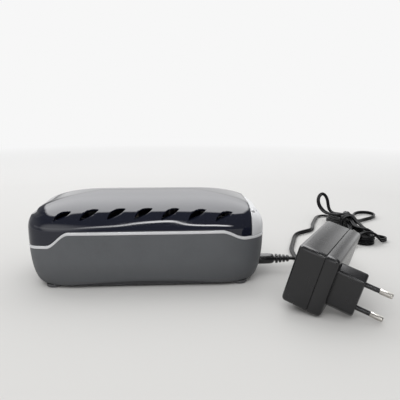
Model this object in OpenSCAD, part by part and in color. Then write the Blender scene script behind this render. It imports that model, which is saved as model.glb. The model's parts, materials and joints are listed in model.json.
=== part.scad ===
// Universal battery charger for four round cells: an oval moulded body with a wave-edged
// shell, a hinged domed lid with curved vents, and a plug-in mains adapter on a tied lead.
// Frame: X along the body with the jack at +X, Y to the back, Z up; the origin is on the
// table under the middle of the body. All sizes are in millimetres.

/* [Body] */
// Overall length of the charger body
body_l = 197.6; // [194:0.2:206]
// Overall width of the charger body
body_w = 90; // [89:0.5:96]
// Height of the crown above the table
body_h = 74.6; // [73:0.2:80]
// Height of the fullest section, where the lid starts to curve in
waist_z = 46; // [45.5:0.5:47]
// Wall of the outer shell
shell_wall = 2.4; // [2:0.1:2.6]
// Height of the shell's lower edge at the corners
skirt_z = 2.7; // [2.7:0.1:3]
// Rise of the arch in the shell's lower edge at mid length
arch_rise = 4; // [2:0.5:5]

/* [Wave trim] */
// Height of the silver trim line along the sides
trim_z = 46.4; // [46:0.1:47.5]
// Height of the band of trim that shows
trim_h = 2.6; // [2:0.1:3.2]
// Distance from each end of the body at which the trim starts to dip
wave_from_end = 36.8; // [35:0.2:38]
// Length of the dip's slope
wave_l = 19; // [18:0.5:20]
// Drop of the trim at the thumb end
drop_left = 11.4; // [9:0.2:12]
// Drop of the trim at the hinge end
drop_right = 6.1; // [5:0.1:7]

/* [Lid] */
// Wall of the lid
lid_wall = 2.6; // [2.4:0.1:3]
// Length of the fixed end cap beyond the lid
cap_l = 12.8; // [12.4:0.2:13.4]
// Number of vents in each side of the lid
vents = 7; // [3:1:7]
// Distance between vents
vent_pitch = 21.8; // [20:0.1:22]
// Length of a vent, tip to tip
vent_l = 15; // [12:0.5:16]
// Width of a vent at its middle
vent_w = 5.4; // [4:0.2:6]
// Slope of a vent
vent_slope = 33; // [25:1:38]
// Depth of the thumb scoop
scoop_depth = 1.5; // [1:0.1:1.7]

/* [Hinge] */
// Radius of the hinge pin
pin_r = 1.5; // [1.2:0.1:1.6]
// Length of the hinge pin
pin_l = 62; // [60:1:64]
// Width of a hinge arm
arm_w = 5; // [4:0.5:6]
// Distance of each hinge arm from the middle
arm_y = 24; // [23:0.5:25]

/* [Cell bays] */
// Diameter of the largest cell
cell_d = 34.2; // [33:0.1:34.4]
// Length of the shortest cell
short_cell_l = 44.5; // [43:0.1:46]
// Number of bays
bays = 4; // [2:1:4]
// Distance between bays
bay_pitch = 36; // [35.5:0.1:36.4]
// Thickness of a cell slider
slider_t = 6; // [5:0.2:6]
// Width of a cell slider
slider_w = 24; // [20:0.5:26]

/* [Base] */
// Diameter of a foot
foot_d = 13; // [10:0.5:14]
// Distance of a foot's centre from the end of the body
foot_end = 21.3; // [20:0.1:22]
// Distance of a foot's centre from the side of the body
foot_side = 11; // [10.8:0.1:12]
// Height of a foot below the base plate
foot_h = 1.6; // [1.4:0.1:1.8]

/* [Power inlet] */
// Radius of the low-voltage plug's barrel
barrel_r = 2.75; // [2.5:0.05:2.8]
// Diameter of the plug's moulded body
plug_d = 9.4; // [9:0.1:10]
// Distance of the inlet in front of the middle
inlet_y = 10; // [8:0.5:11]
// Height of the inlet above the table
inlet_z = 11; // [10.8:0.1:11.6]

/* [Mains adapter] */
// Length of the adapter's body
adapter_l = 80; // [74:1:86]
// Width of the adapter's body across the two pins
adapter_w = 46; // [44:0.5:50]
// Thickness of the adapter's body along the pins
adapter_t = 30; // [28:0.5:34]
// Wall of the adapter's case
adapter_wall = 2; // [1.6:0.1:2.4]
// Length of the plug nose
nose_l = 19; // [17:0.5:20]
// Distance from the adapter's near end to the middle of the nose
nose_in = 14; // [12:0.5:16]
// Radius of a mains pin's bare tip
mains_r = 2; // [1.9:0.05:2.1]
// Length of a mains pin beyond the nose
mains_l = 19; // [17:0.5:20]
// Distance between the mains pins
mains_gap = 18.6; // [17.5:0.1:19.2]

/* [Lead] */
// Width of the flat twin lead
lead_w = 4.6; // [4:0.2:5]
// Thickness of the flat twin lead
lead_t = 2.4; // [2.2:0.2:3]

/* [Hidden] */
$fn = 48;

// Running gap between pieces that seat on each other
seat = 0.1;
// Gap between the lid and what it closes on
lid_gap = 0.3;
half_body = body_l / 2;
half_side = body_w / 2;
// Squareness of the body in plan
plan_power = 6;

function clamp01(v) = min(1, max(0, v));
function smooth(v) = let (c = clamp01(v)) c * c * (3 - 2 * c);
function spow(c, e) = sign(c) * pow(abs(c), e);

// Half length and half width of the outer form at height z
end_tuck = 12.8;
side_tuck = 0.5;
crown_run = 60;
function below(z) = clamp01((waist_z - z) / (waist_z - 2.5));
function above(z) = clamp01((z - waist_z) / (body_h - waist_z));
function half_l(z) = z > waist_z
  ? half_body - crown_run * (1 - pow(1 - pow(above(z), 3.34), 1 / 1.42))
  : half_body - end_tuck * (1 - pow(1 - pow(below(z), 2.58), 1 / 2.58));
function half_w(z) = z > waist_z
  ? half_side * sqrt(1 - pow(above(z), 2))
  : half_side - side_tuck * pow(below(z), 2);

// A point of the form at plan angle t, taken in by g
function form_pt(t, z, g) = [
  (half_l(z) - g) * spow(cos(t), 2 / plan_power),
  (half_w(z) - g) * spow(sin(t), 2 / plan_power),
  z
];
function plan_x(t) = half_body * spow(cos(t), 2 / plan_power);
function angle_at(x) = acos(pow(x / half_body, plan_power / 2));

// Plan angles: even steps round the corners, close ones over the wave, wide ones between
wave_x = half_body - wave_from_end;
quarter = concat(
  [for (t = [0:8:48]) t],
  [for (k = [0:6]) angle_at(wave_x + wave_l * (1 - k / 6))],
  [angle_at(wave_x * 0.72), angle_at(wave_x * 0.4)]);
last_q = len(quarter) - 1;
around = concat(
  quarter, [90], [for (k = [last_q:-1:1]) 180 - quarter[k]],
  [for (t = quarter) 180 + t], [270], [for (k = [last_q:-1:1]) 360 - quarter[k]]);

// The same angles at the hinge end, with wide steps over the rest
end_q = 11;
around_end = concat(
  [for (k = [0:end_q]) quarter[k]], [110, 150, 180, 210, 250], [for (k = [end_q:-1:1]) 360 - quarter[k]]);

// Height of the trim's middle, and of the shell's lower edge, at length x
function trim_at(x) = trim_z
  - drop_left * smooth((-wave_x - x) / wave_l)
  - 1.2 * smooth((-wave_x - wave_l - x) / (wave_from_end - wave_l))
  - drop_right * smooth((x - wave_x) / wave_l)
  + 0.8 * smooth((x - wave_x - wave_l) / (wave_from_end - wave_l));
function edge_at(x) = skirt_z + arch_rise * clamp01(1 - pow(x / 70, 2));

// Closed skin through rings that follow each other and close on the first
module wrap(rings) {
  m = len(rings);
  k = len(rings[0]);
  polyhedron(
    points = [for (r = rings) for (p = r) p],
    faces = [for (j = [0:m - 1]) for (i = [0:k - 1]) for (half = [0, 1])
      let (a = j * k + i, b = j * k + (i + 1) % k,
           c = (j + 1) % m * k + i, d = (j + 1) % m * k + (i + 1) % k)
      half == 0 ? [a, d, b] : [a, c, d]],
    convexity = 8);
}

// Solid through rings, with a fan of faces at each end
module loft(rings, first, last) {
  m = len(rings);
  k = len(rings[0]);
  polyhedron(
    points = concat([for (r = rings) for (p = r) p], [first, last]),
    faces = concat(
      [for (i = [0:k - 1]) [i, (i + 1) % k, m * k]],
      [for (j = [0:m - 2]) for (i = [0:k - 1]) for (half = [0, 1])
        let (a = j * k + i, b = j * k + (i + 1) % k, c = a + k, d = b + k)
        half == 0 ? [a, d, b] : [a, c, d]],
      [for (i = [0:k - 1]) [(m - 1) * k + (i + 1) % k, (m - 1) * k + i, m * k + 1]]),
    convexity = 8);
}

// Ring whose height runs from the trim (f = 0) to the given top (f = 1)
function trim_ring(angles, f, g, lift, top, drop = 0) = [for (t = angles)
  let (z0 = trim_at(plan_x(t)) + lift, z = z0 + (top - z0) * f)
  form_pt(t, z + drop, g) - [0, 0, drop]];
function plan_ring(z, g) = [for (t = around) let (p = form_pt(t, z, g)) [p.x, p.y]];

module plan_prism(z0, z1, form_z, g) {
  translate([0, 0, z0]) linear_extrude(z1 - z0) polygon(plan_ring(form_z, g));
}

module rounded_rect(size, r) {
  square([size.x - 2 * r, size.y], center = true);
  square([size.x, size.y - 2 * r], center = true);
  for (sx = [-1, 1], sy = [-1, 1])
    translate([sx * (size.x / 2 - r), sy * (size.y / 2 - r)]) circle(r, $fn = 32);
}

// Box rounded on all twelve edges, centred
module rounded_box(size, r) {
  intersection() {
    linear_extrude(size.z, center = true) rounded_rect([size.x, size.y], r);
    rotate([90, 0, 0]) linear_extrude(size.y, center = true) rounded_rect([size.x, size.z], r);
    rotate([90, 0, 90]) linear_extrude(size.x, center = true) rounded_rect([size.y, size.z], r);
  }
}

// Cylinder along Y or X between two ends
module rod_y(r, y0, y1) {
  translate([0, y0, 0]) rotate([-90, 0, 0]) cylinder(r = r, h = y1 - y0);
}
module rod_x(r, x0, x1) {
  translate([x0, 0, 0]) rotate([0, 90, 0]) cylinder(r = r, h = x1 - x0);
}

// Shell
band = trim_h / 2;
shell_rise = [0, 0.05, 0.12, 0.22, 0.42, 0.7, 1];
shell_fall = [1, 0.6, 0.25, 0.1, 0];
function shell_ring(f, g) = [for (t = around)
  let (x = plan_x(t), z0 = edge_at(x), z1 = trim_at(x) - band - seat)
  form_pt(t, z0 + (z1 - z0) * f, g)];
inlet_hole_r = plug_d / 2 + 0.8;

module at_inlet() {
  translate([0, -inlet_y, inlet_z]) children();
}

module outer_shell() {
  color("#54565a") difference() {
    wrap(concat([for (f = shell_rise) shell_ring(f, 0)],
                [for (f = shell_fall) shell_ring(f, shell_wall)]));
    at_inlet() rod_x(inlet_hole_r, half_body - 20, half_body + 5);
  }
}

// Base plate: a tray with a raised rim, board posts, vent slots and screw holes
tray_z = foot_h;
tray_floor = 2.4;
tray_top = tray_z + tray_floor;
tray_rim_z = 9;
tray_rim_t = 1.6;
tray_g = shell_wall + 0.3;
board_z = 8;
board_t = 1.6;
board_top = board_z + board_t;
screw_end = 19.8;
screw_side = 23;
screw_x = half_body - screw_end;
screw_y = half_side - screw_side;
screw_r = 1.5;
screw_head_r = 2.9;
screw_head_h = 1.2;
screw_gap = 0.3;
boss_r = 3.6;
post_x = half_body - 32.8;
post_y = half_side - 14;
post_r = 3;
post_pin_r = 1.2;
foot_seat = 0.8;
air_slots = 11;

module at_corners(x, y) {
  for (sx = [-1, 1], sy = [-1, 1]) translate([sx * x, sy * y, 0]) children();
}

module base_plate() {
  color("#2b2c2f") difference() {
    union() {
      difference() {
        plan_prism(tray_z, tray_rim_z, skirt_z, tray_g);
        plan_prism(tray_top, tray_rim_z + 1, skirt_z, tray_g + tray_rim_t);
      }
      at_corners(post_x, post_y) translate([0, 0, tray_top - 1])
        cylinder(r = post_r, h = board_z - tray_top + 1);
      at_corners(post_x, post_y) translate([0, 0, board_z - 1])
        cylinder(r = post_pin_r, h = board_t + 2);
      translate([socket_x0 + 2, -inlet_y - socket_w / 2, tray_top - 1])
        cube([half_l(skirt_z) - tray_g - 0.6 - socket_x0 - 2, socket_w, inlet_z - socket_h / 2 - tray_top + 1]);
    }
    at_corners(screw_x, screw_y) translate([0, 0, tray_z - 1]) cylinder(r = screw_r + screw_gap, h = 6);
    at_corners(screw_x, screw_y) translate([0, 0, tray_z - 1])
      cylinder(r = screw_head_r + screw_gap, h = screw_head_h + 1.1);
    at_corners(foot_x, foot_y) translate([0, 0, tray_z - 1])
      cylinder(r = foot_d / 2 + 0.15, h = foot_seat + 1);
    at_inlet() rod_x(inlet_hole_r, socket_x0 + socket_l, half_body + 5);
    translate([socket_x0 - 0.2, -inlet_y - socket_w / 2 - 0.3, inlet_z - socket_h / 2])
      cube([socket_l + 2, socket_w + 0.6, socket_h]);
    for (k = [0:air_slots - 1]) translate([(k - (air_slots - 1) / 2) * 9, 0, tray_z - 1])
      linear_extrude(tray_floor + 2) rounded_rect([3, 30], 1.49);
  }
}

// Feet: soft discs let into the base plate
foot_x = half_body - foot_end;
foot_y = half_side - foot_side;
module foot(k) {
  translate([(k <= 2 ? -1 : 1) * foot_x, (k % 2 == 1 ? -1 : 1) * foot_y, 0])
    color("#1c1c1e") {
      cylinder(r1 = foot_d / 2 - 0.4, r2 = foot_d / 2, h = 0.6);
      translate([0, 0, 0.6]) cylinder(r = foot_d / 2, h = tray_z + foot_seat - 0.6);
    }
}

// Silver rim: a band that lies on the shell's top edge and reaches down inside it
rim_gap = 0.2;
rim_t = 1.8;
rim_g = shell_wall + rim_gap;
rim_foot_z = 24;
deck_z = 32;
deck_t = 2;
deck_top = deck_z + deck_t;
trough_r = cell_d / 2 + 0.4;
trough_skin = 2;
cell_z = 43.7;
block_top = 40;
fixed_face_y = half_side - 13.6;
plate_t = 0.6;
ridge_h = 1.2;
wall_y = fixed_face_y + ridge_h + plate_t;
wall_t = 2;
wall_top = 50;
cell_l = body_w - 28.5;
slider_rest_y = fixed_face_y - short_cell_l + 1;
slide = cell_l - short_cell_l + 1.3;
front_y = slider_rest_y - plate_t - slider_t - slide - 0.5;
front_t = 1;
neck_w = 6;
track_gap = 0.3;
tail_w = 3;
light_x = 19.3 - half_body;
light_r = 2.4;
light_pitch = (screw_y - 6) / 2;
spring_z = 20.5;
spring_r = 2.5;
post_w = 3;
anchor_y = slider_rest_y - plate_t + 24.3;

function bay_x(k) = (k - (bays + 1) / 2) * bay_pitch;
module each_bay() {
  for (k = [1:bays]) translate([bay_x(k), 0, 0]) children();
}
module at_lights() {
  for (k = [1:bays]) translate([light_x, (k - (bays + 1) / 2) * light_pitch, 0]) children();
}

// Ring of the rim at inset g: at the trim's top edge, its bottom edge, or a fixed height
function rim_ring(g, lift) = [for (t = around) form_pt(t, trim_at(plan_x(t)) + lift, g)];
function flat_ring(g, z) = [for (t = around) form_pt(t, z, g)];

module trim_rim() {
  color("#d3d4d8") wrap([flat_ring(rim_g, rim_foot_z), rim_ring(rim_g, -band), rim_ring(0, -band),
    rim_ring(0, band), rim_ring(rim_g + rim_t, band), flat_ring(rim_g + rim_t, rim_foot_z)]);
}

// Cell tray: the deck round the bays, with the posts for the case screws
bays_half = bay_pitch * bays / 2;
module cell_tray() {
  color("#333438") difference() {
    union() {
      difference() {
        plan_prism(deck_z, deck_top, rim_foot_z, rim_g + rim_t + seat);
        translate([-bays_half - seat, -body_w, deck_z - 1])
          cube([2 * (bays_half + seat), body_w + wall_y + wall_t + seat, deck_t + 2]);
      }
      at_corners(screw_x, screw_y) translate([0, 0, tray_top + 0.2])
        cylinder(r = boss_r, h = deck_top - tray_top - 1);
    }
    at_lights() translate([0, 0, deck_z - 1]) cylinder(r = light_r + 0.2, h = deck_t + 2);
    at_corners(screw_x, screw_y) translate([0, 0, tray_top]) cylinder(r = screw_r + 0.02, h = 10);
  }
}

// Bay troughs: round-bottomed inserts in the deck, each with its end walls and a post for its spring
bay_w = bay_pitch - seat;
module bay_troughs() {
  color("#333438") each_bay() difference() {
    union() {
      translate([0, 0, cell_z]) intersection() {
        rod_y(trough_r + trough_skin, front_y - front_t, wall_y + wall_t);
        translate([-bay_w / 2, -body_w, -cell_z]) cube([bay_w, 2 * body_w, block_top]);
      }
      translate([-bay_w / 2, front_y - front_t, deck_z])
        cube([bay_w, wall_y + wall_t - front_y + front_t, block_top - deck_z]);
      translate([-bay_w / 2, wall_y, deck_z]) cube([bay_w, wall_t, wall_top - deck_z]);
      translate([-post_w / 2, anchor_y, spring_z - spring_r - 0.5])
        cube([post_w, post_w, cell_z - trough_r - spring_z + spring_r]);
    }
    translate([0, 0, cell_z]) rod_y(trough_r, front_y, wall_y);
    translate([-neck_w / 2 - track_gap, front_y, 22])
      cube([neck_w + 2 * track_gap, slider_rest_y - plate_t - front_y + track_gap, 8]);
    translate([-tail_w / 2 - 0.2, wall_y - plate_t - 0.2, 22]) cube([tail_w + 0.4, plate_t + 0.2, 8]);
  }
}

// Contact fixed at the back of each bay: a ridged plate with a tail down to the board
module fixed_contact(k) {
  plate_w = 12;
  ridge_w = 4;
  tail_top = 31;
  translate([bay_x(k), 0, 0]) color("#c9b17a") {
    translate([-plate_w / 2, wall_y - plate_t, tail_top - 1]) cube([plate_w, plate_t, wall_top - tail_top]);
    intersection() {
      translate([0, wall_y - plate_t + ridge_w - ridge_h, 0]) translate([0, 0, 36]) cylinder(r = ridge_w, h = 12);
      translate([-plate_w / 2, fixed_face_y, 30]) cube([plate_w, ridge_h + 0.05, 20]);
    }
    translate([-tail_w / 2, wall_y - plate_t, board_top]) cube([tail_w, plate_t, tail_top - board_top]);
  }
}

// Cell slider: a round-bottomed block that fits the trough, held by a neck and foot below the slot
slider_top = 52;
foot_w = 10;
foot_z = 18;
slider_back = slider_rest_y - plate_t;
slider_front = slider_back - slider_t;
trough_low = cell_z - trough_r - trough_skin;
module cell_slider(k) {
  translate([bay_x(k), 0, 0]) color("#3a3b3f") {
    intersection() {
      translate([0, 0, cell_z]) rod_y(trough_r - track_gap, slider_front, slider_back);
      translate([-slider_w / 2, slider_front, 20]) cube([slider_w, slider_t, slider_top - 20]);
    }
    for (z = [44, 47, 50]) translate([0, slider_front, z]) rod_x(0.5, -slider_w / 2 + 4, slider_w / 2 - 4);
    translate([-neck_w / 2, slider_front, foot_z + 2])
      cube([neck_w, slider_t, cell_z - trough_r + 1.5 - foot_z - 2]);
    translate([-foot_w / 2, slider_front, foot_z])
      cube([foot_w, slider_t, trough_low - track_gap - foot_z]);
  }
}

// Contact carried on the slider's face
module slider_contact(k) {
  translate([bay_x(k), 0, 0]) color("#b9bbc0") difference() {
    translate([-6, slider_back, 31]) cube([12, plate_t, 19]);
    translate([0, 0, 46]) rod_y(1.2, slider_back - 1, slider_back + 2);
  }
}

// Tube swept through points, a wide and b thick, with ref square to the width
function unit(v) = v / norm(v);
function heading(p, i) = unit(p[min(i + 1, len(p) - 1)] - p[max(i - 1, 0)]);
function section(p, dir, ref, a, b, sides) = let (
    across = unit(cross(dir, ref)), up = cross(across, dir))
  [for (q = [0:sides - 1]) let (w = 360 * q / sides)
    p + across * a / 2 * cos(w) - up * b / 2 * sin(w)];
module sweep(path, ref, a, b, sides) {
  n = len(path) - 1;
  loft([for (i = [0:n]) section(path[i], heading(path, i), ref, a, b, sides)], path[0], path[n]);
}

// Extension spring that draws each slider back to the cell
spring_turns = 6;
spring_wire = 0.8;
module slider_spring(k) {
  steps = spring_turns * 8;
  y0 = slider_back + 0.5;
  y1 = anchor_y - 0.5;
  path = [for (i = [0:steps])
    [bay_x(k) + (spring_r - spring_wire / 2) * cos(45 * i), y0 + (y1 - y0) * i / steps,
     spring_z + (spring_r - spring_wire / 2) * sin(45 * i)]];
  color("#a9abb0") sweep(path, [0, 1, 0], spring_wire, spring_wire, 4);
}

// Light pipe for each bay
module status_light(k) {
  translate([light_x, (k - (bays + 1) / 2) * light_pitch, board_top]) color("#cfe8d0") {
    cylinder(r = light_r, h = deck_top + 0.5 - board_top);
    translate([0, 0, deck_top + 0.5 - board_top]) cylinder(r1 = light_r, r2 = light_r - 0.6, h = 0.6);
  }
}

// Electronics
board_x0 = 15.6 - half_body;
board_x1 = half_body - 22.8;
board_gap = 0.4;
module circuit_board() {
  color("#2f6b3f") difference() {
    intersection() {
      plan_prism(board_z, board_top, skirt_z, tray_g + tray_rim_t + board_gap);
      translate([board_x0, -34, board_z - 1]) cube([board_x1 - board_x0, 68, board_t + 2]);
    }
    at_corners(screw_x, screw_y) translate([0, 0, board_z - 1]) cylinder(r = boss_r + 0.5, h = 5);
    at_corners(post_x, post_y) translate([0, 0, board_z - 1]) cylinder(r = post_pin_r + 0.15, h = 5);
  }
}
coil_r = 8;
coil_h = 6.8;
module power_coil() {
  translate([-36, -14, board_top]) color("#b0693a") difference() {
    cylinder(r = coil_r, h = coil_h);
    translate([0, 0, -1]) cylinder(r = coil_r * 0.45, h = coil_h + 2);
  }
}
module capacitors() {
  for (p = [[0, -22, 4], [0, -11, 4], [36, -24, 3.2], [44, -24, 3.2]])
    translate([p.x, p.y, board_top]) color("#2c3e66") difference() {
      cylinder(r = p.z, h = 6.6);
      translate([0, 0, 6.2]) cube([0.6, p.z * 1.4, 1], center = true);
    }
}
module control_chips() {
  for (p = [[-60, 8, 12], [-10, 12, 14], [20, 10, 9]])
    translate([p.x, p.y, board_top]) color("#222327") {
      translate([-p.z / 2, -3, 0.2]) cube([p.z, 6, 1.6]);
      for (k = [0:3], s = [-1, 1]) translate([(k - 1.5) * p.z / 5 - 0.4, s * 4 - 1.2, 0]) cube([0.8, 2.4, 0.9]);
    }
}
fins = 7;
module heat_sink() {
  translate([36, 4, board_top]) color("#9a9da2") {
    translate([-7.5, -12, 0]) cube([15, 24, 1.6]);
    for (k = [0:fins - 1]) translate([-7.5 + k * 14.2 / (fins - 1), -12, 1.5]) cube([0.8, 24, 5.3]);
  }
}

// Power inlet socket at the board's edge
socket_l = 13.8;
socket_w = 9;
socket_h = 10;
socket_x0 = board_x1 + 0.2;
module inlet_socket() {
  color("#1b1b1d") difference() {
    union() {
      translate([socket_x0, -inlet_y - socket_w / 2, inlet_z - socket_h / 2])
        cube([socket_l, socket_w, socket_h]);
      for (s = [-1, 1]) translate([socket_x0 - 6, -inlet_y + s * 2.5 - 0.8, board_top])
        cube([7, 1.6, 0.5]);
    }
    at_inlet() rod_x(barrel_r + seat, socket_x0 + socket_l - barrel_l - 0.3, socket_x0 + socket_l + 1);
    at_inlet() rod_x(1, socket_x0 + 2, socket_x0 + socket_l);
  }
}

// Screws that clamp the base plate and the housing
module case_screws() {
  at_corners(screw_x, screw_y) translate([0, 0, tray_z + 0.1]) color("#8f9196") difference() {
    union() {
      cylinder(r = screw_head_r, h = screw_head_h);
      cylinder(r = screw_r, h = 11);
    }
    translate([0, 0, 0.3]) {
      cube([3.4, 0.7, 1.2], center = true);
      cube([0.7, 3.4, 1.2], center = true);
    }
  }
}

// Lid: a hollow dome with arms for the hinge
lid_end = half_body - cap_l;
lid_rise = [0, 0.1, 0.25, 0.4, 0.55, 0.68, 0.79, 0.88, 0.94, 0.98, 0.995];
hinge_x = lid_end + 2.6;
hinge_z = body_h - 15.1;
pin_gap = 0.05;
arm_r = 2.6;
arm_gap = 0.3;
vent_x0 = -1.9;
module dome(angles, g, lift, drop) {
  loft([for (f = lid_rise) trim_ring(angles, f, g, band + lift, body_h - g - drop, drop)],
       [0, 0, waist_z], [0, 0, body_h - g - drop]);
}
// One skin that runs down the inside, across the lower edge and up the outside
module hollow_dome(angles, wall, lift, drop) {
  top = body_h - drop;
  loft(concat(
      [for (k = [len(lid_rise) - 1:-1:0]) trim_ring(angles, lid_rise[k], wall, band + lift, top - wall, drop)],
      [for (f = lid_rise) trim_ring(angles, f, 0, band + lift, top, drop)]),
    [0, 0, top - wall], [0, 0, top]);
}
module leaf(l, w, h) {
  r = (l * l + w * w) / (4 * w);
  linear_extrude(h, center = true) intersection() {
    translate([0, r - w / 2]) circle(r, $fn = 96);
    translate([0, w / 2 - r]) circle(r, $fn = 96);
  }
}
module vent_cuts() {
  for (turn = [0, 180], k = [0:vents - 1])
    rotate(turn) translate([vent_x0 + (k - (vents - 1) / 2) * vent_pitch, -half_side + 6.5, waist_z + 14])
      rotate([38, 0, 0]) rotate([0, 0, vent_slope]) leaf(vent_l, vent_w, 12);
}

// Thumb scoop round the left end of the lid, deepest in the middle
scoop_half = 36;
function dome_x(y, z) = -half_l(z) * pow(1 - pow(abs(y) / half_w(z), plan_power), 1 / plan_power);
function scoop_low(s) = let (z = waist_z + 11.8 + 0.3 * s * s) [dome_x(scoop_half * s, z), scoop_half * s, z];
function scoop_high(s) = let (z = waist_z + 18.7 - 4.2 * s * s) [dome_x(scoop_half * s, z), scoop_half * s, z];
function scoop_ring(s) = let (
    low = scoop_low(s), high = scoop_high(s), mid = (low + high) / 2,
    out = unit(mid - [-60, mid.y * 0.45, waist_z]), deep = scoop_depth * (1 - s * s))
  [high, mid * 0.5 + high * 0.5 - out * deep, mid * 0.4 + low * 0.6 - out * deep, low,
   low + out * 4, high + out * 4];
module thumb_scoop() {
  rings = [for (s = [-1:0.2:1]) scoop_ring(s)];
  loft(rings, (rings[0][1] + rings[0][4]) / 2, (rings[10][1] + rings[10][4]) / 2);
}

module arm_side() {
  polygon([[lid_end - 12, hinge_z + 10], [lid_end - 12, hinge_z + 2], [lid_end - 3, hinge_z - arm_r],
           [hinge_x, hinge_z - arm_r], [hinge_x, hinge_z + arm_r], [lid_end, hinge_z + 10]]);
}
module lid() {
  color("#1a1c28") {
    difference() {
      intersection() {
        hollow_dome(around, lid_wall, lid_gap, 0);
        translate([-body_l, -body_w, 0]) cube([body_l + lid_end, 2 * body_w, 2 * body_h]);
      }
      vent_cuts();
      thumb_scoop();
    }
    difference() {
      union() {
        intersection() {
          dome(around_end, lid_wall / 2, lid_gap, 0);
          for (s = [-1, 1])
            translate([0, s * arm_y + arm_w / 2, 0]) rotate([90, 0, 0]) linear_extrude(arm_w) arm_side();
        }
        for (s = [-1, 1]) translate([hinge_x, s * arm_y, hinge_z]) rod_y(arm_r, -arm_w / 2, arm_w / 2);
      }
      translate([hinge_x, 0, hinge_z]) rod_y(pin_r + pin_gap, -half_side, half_side);
    }
  }
}

// End cap: the fixed silver end with ears for the hinge pin
cap_gap = 0.8;
cap_wall = 2;
cap_drop = 1.7;
cap_x = lid_end + cap_gap;
ear_t = 2.7;
ear_r = 3.8;
bulkhead_t = 1.6;
bulkhead_z = hinge_z - 4;
module end_cap() {
  color("#d7d8dc") difference() {
    union() {
      hollow_dome(around_end, cap_wall, seat, cap_drop);
      intersection() {
        dome(around_end, cap_wall / 2, seat, cap_drop);
        union() {
          translate([cap_x, -body_w, 0]) cube([bulkhead_t, 2 * body_w, bulkhead_z]);
          for (y = [-1, 1] * arm_y, s = [-1, 1])
            translate([0, y + s * (arm_w + 2 * arm_gap + ear_t) / 2, 0]) {
              translate([hinge_x, 0, hinge_z]) rod_y(ear_r, -ear_t / 2, ear_t / 2);
              translate([cap_x, -ear_t / 2, bulkhead_z - 6]) cube([hinge_x + ear_r - cap_x, ear_t, 10]);
            }
        }
      }
      intersection() {
        plan_prism(deck_top, bulkhead_z, waist_z, rim_g + rim_t + 0.4);
        translate([cap_x, -body_w, 0]) cube([bulkhead_t, 2 * body_w, bulkhead_z]);
      }
    }
    for (s = [-1, 1]) translate([cap_x - 1, s * arm_y - arm_w / 2 - arm_gap, bulkhead_z])
      cube([hinge_x + 6 - cap_x, arm_w + 2 * arm_gap, body_h]);
    translate([cap_x - 2 * body_l, -body_w, 0]) cube([2 * body_l, 2 * body_w, 2 * body_h]);
    translate([hinge_x, 0, hinge_z]) rod_y(pin_r + pin_gap, -half_side, half_side);
  }
}

module hinge_pin() {
  color("#aeb0b4") translate([hinge_x, 0, hinge_z]) rod_y(pin_r, -pin_l / 2, pin_l / 2);
}

// Low-voltage plug with a ribbed boot, pushed home in the socket
barrel_l = 9.5;
plug_x0 = socket_x0 + socket_l + 0.2;
plug_l = 22;
boot_l = 14;
boot_ribs = 5;
plug_x1 = plug_x0 + plug_l;
module plug_barrel() {
  color("#c4c6ca") at_inlet() difference() {
    rod_x(barrel_r, plug_x0 - barrel_l, plug_x0);
    rod_x(1.05, plug_x0 - barrel_l - 1, plug_x0 - 0.5);
  }
}
module plug_body() {
  color("#1a1a1c") at_inlet() {
    rod_x(plug_d / 2, plug_x0, plug_x1 - 1);
    translate([plug_x1 - 1, 0, 0]) rotate([0, 90, 0]) cylinder(r1 = plug_d / 2, r2 = plug_d / 2 - 1, h = 1);
    rod_x(2.6, plug_x1, plug_x1 + boot_l);
    for (k = [0:boot_ribs - 1]) rod_x(4 - 0.25 * k, plug_x1 + boot_l * k / boot_ribs + 0.6,
                                      plug_x1 + boot_l * k / boot_ribs + 2.2);
  }
}

// Lead, flat and twin, laid on the table; points are where its middle runs
lead_start = [plug_x1 + boot_l, -inlet_y, inlet_z];
run_points = [[132, -9.5, 10.6], [136, -6, 8.5], [138, 0, 5.6], [139.5, 8, 3], [140.5, 18, 1.8],
  [141, 30, 1.6], [143, 44, 1.6], [148, 60, 1.6], [153, 74, 1.6], [158, 86, 1.6], [166, 97, 1.6],
  [177, 105, 1.6], [185, 114, 1.6], [190, 127, 1.6], [195, 142, 1.6], [201, 156, 1.8],
  [206.5, 168, 1.8], [211.5, 178, 1.8], [218.5, 184.5, 1.8], [225.5, 184.2, 1.7], [229, 180, 1.7],
  [229, 174.4, 1.7]];
tail_points = [[173.6, -12.1, 25.8], [178, -4, 22], [183, 6, 14], [188, 17, 6.5], [194, 27, 2.4],
  [202, 34, 1.6], [211, 37, 1.8], [219.5, 37.5, 2.6], [226.5, 40.5, 3.6], [229, 46, 4.2], [229, 51.6, 4.2]];
up_loop_points = [[215.1, 150, 7], [211, 150.5, 7.6], [208.4, 154, 11], [207.6, 159, 18], [208.4, 163.5, 26],
  [211.5, 166.5, 33], [216, 167.3, 35.4], [220.5, 166, 33], [223.2, 164, 28.5], [224, 163, 25], [224, 163, 21.4]];
side_loop_points = [[242.9, 138, 6], [246, 138, 5.8], [256, 146.5, 3.6], [265, 154, 2.4], [278, 162, 1.8], [288, 172, 1.6],
  [292, 184, 1.6], [287, 195, 1.6], [276, 197, 1.8], [264, 188, 2.4], [255, 172, 3.6], [247, 158.2, 5.8],
  [242.9, 158, 6]];
low_loop_points = [[242.9, 80, 5], [247.5, 80.5, 4], [254, 79, 2], [258.5, 73.5, 1.6], [255, 68, 1.6],
  [248, 66, 3], [242.9, 66.5, 4.6]];
lead_gap = 0.3;
hank_x = 229;
hank_y0 = 52;
hank_y1 = 174;
hank_w = 27;
hank_h = 21;

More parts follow.
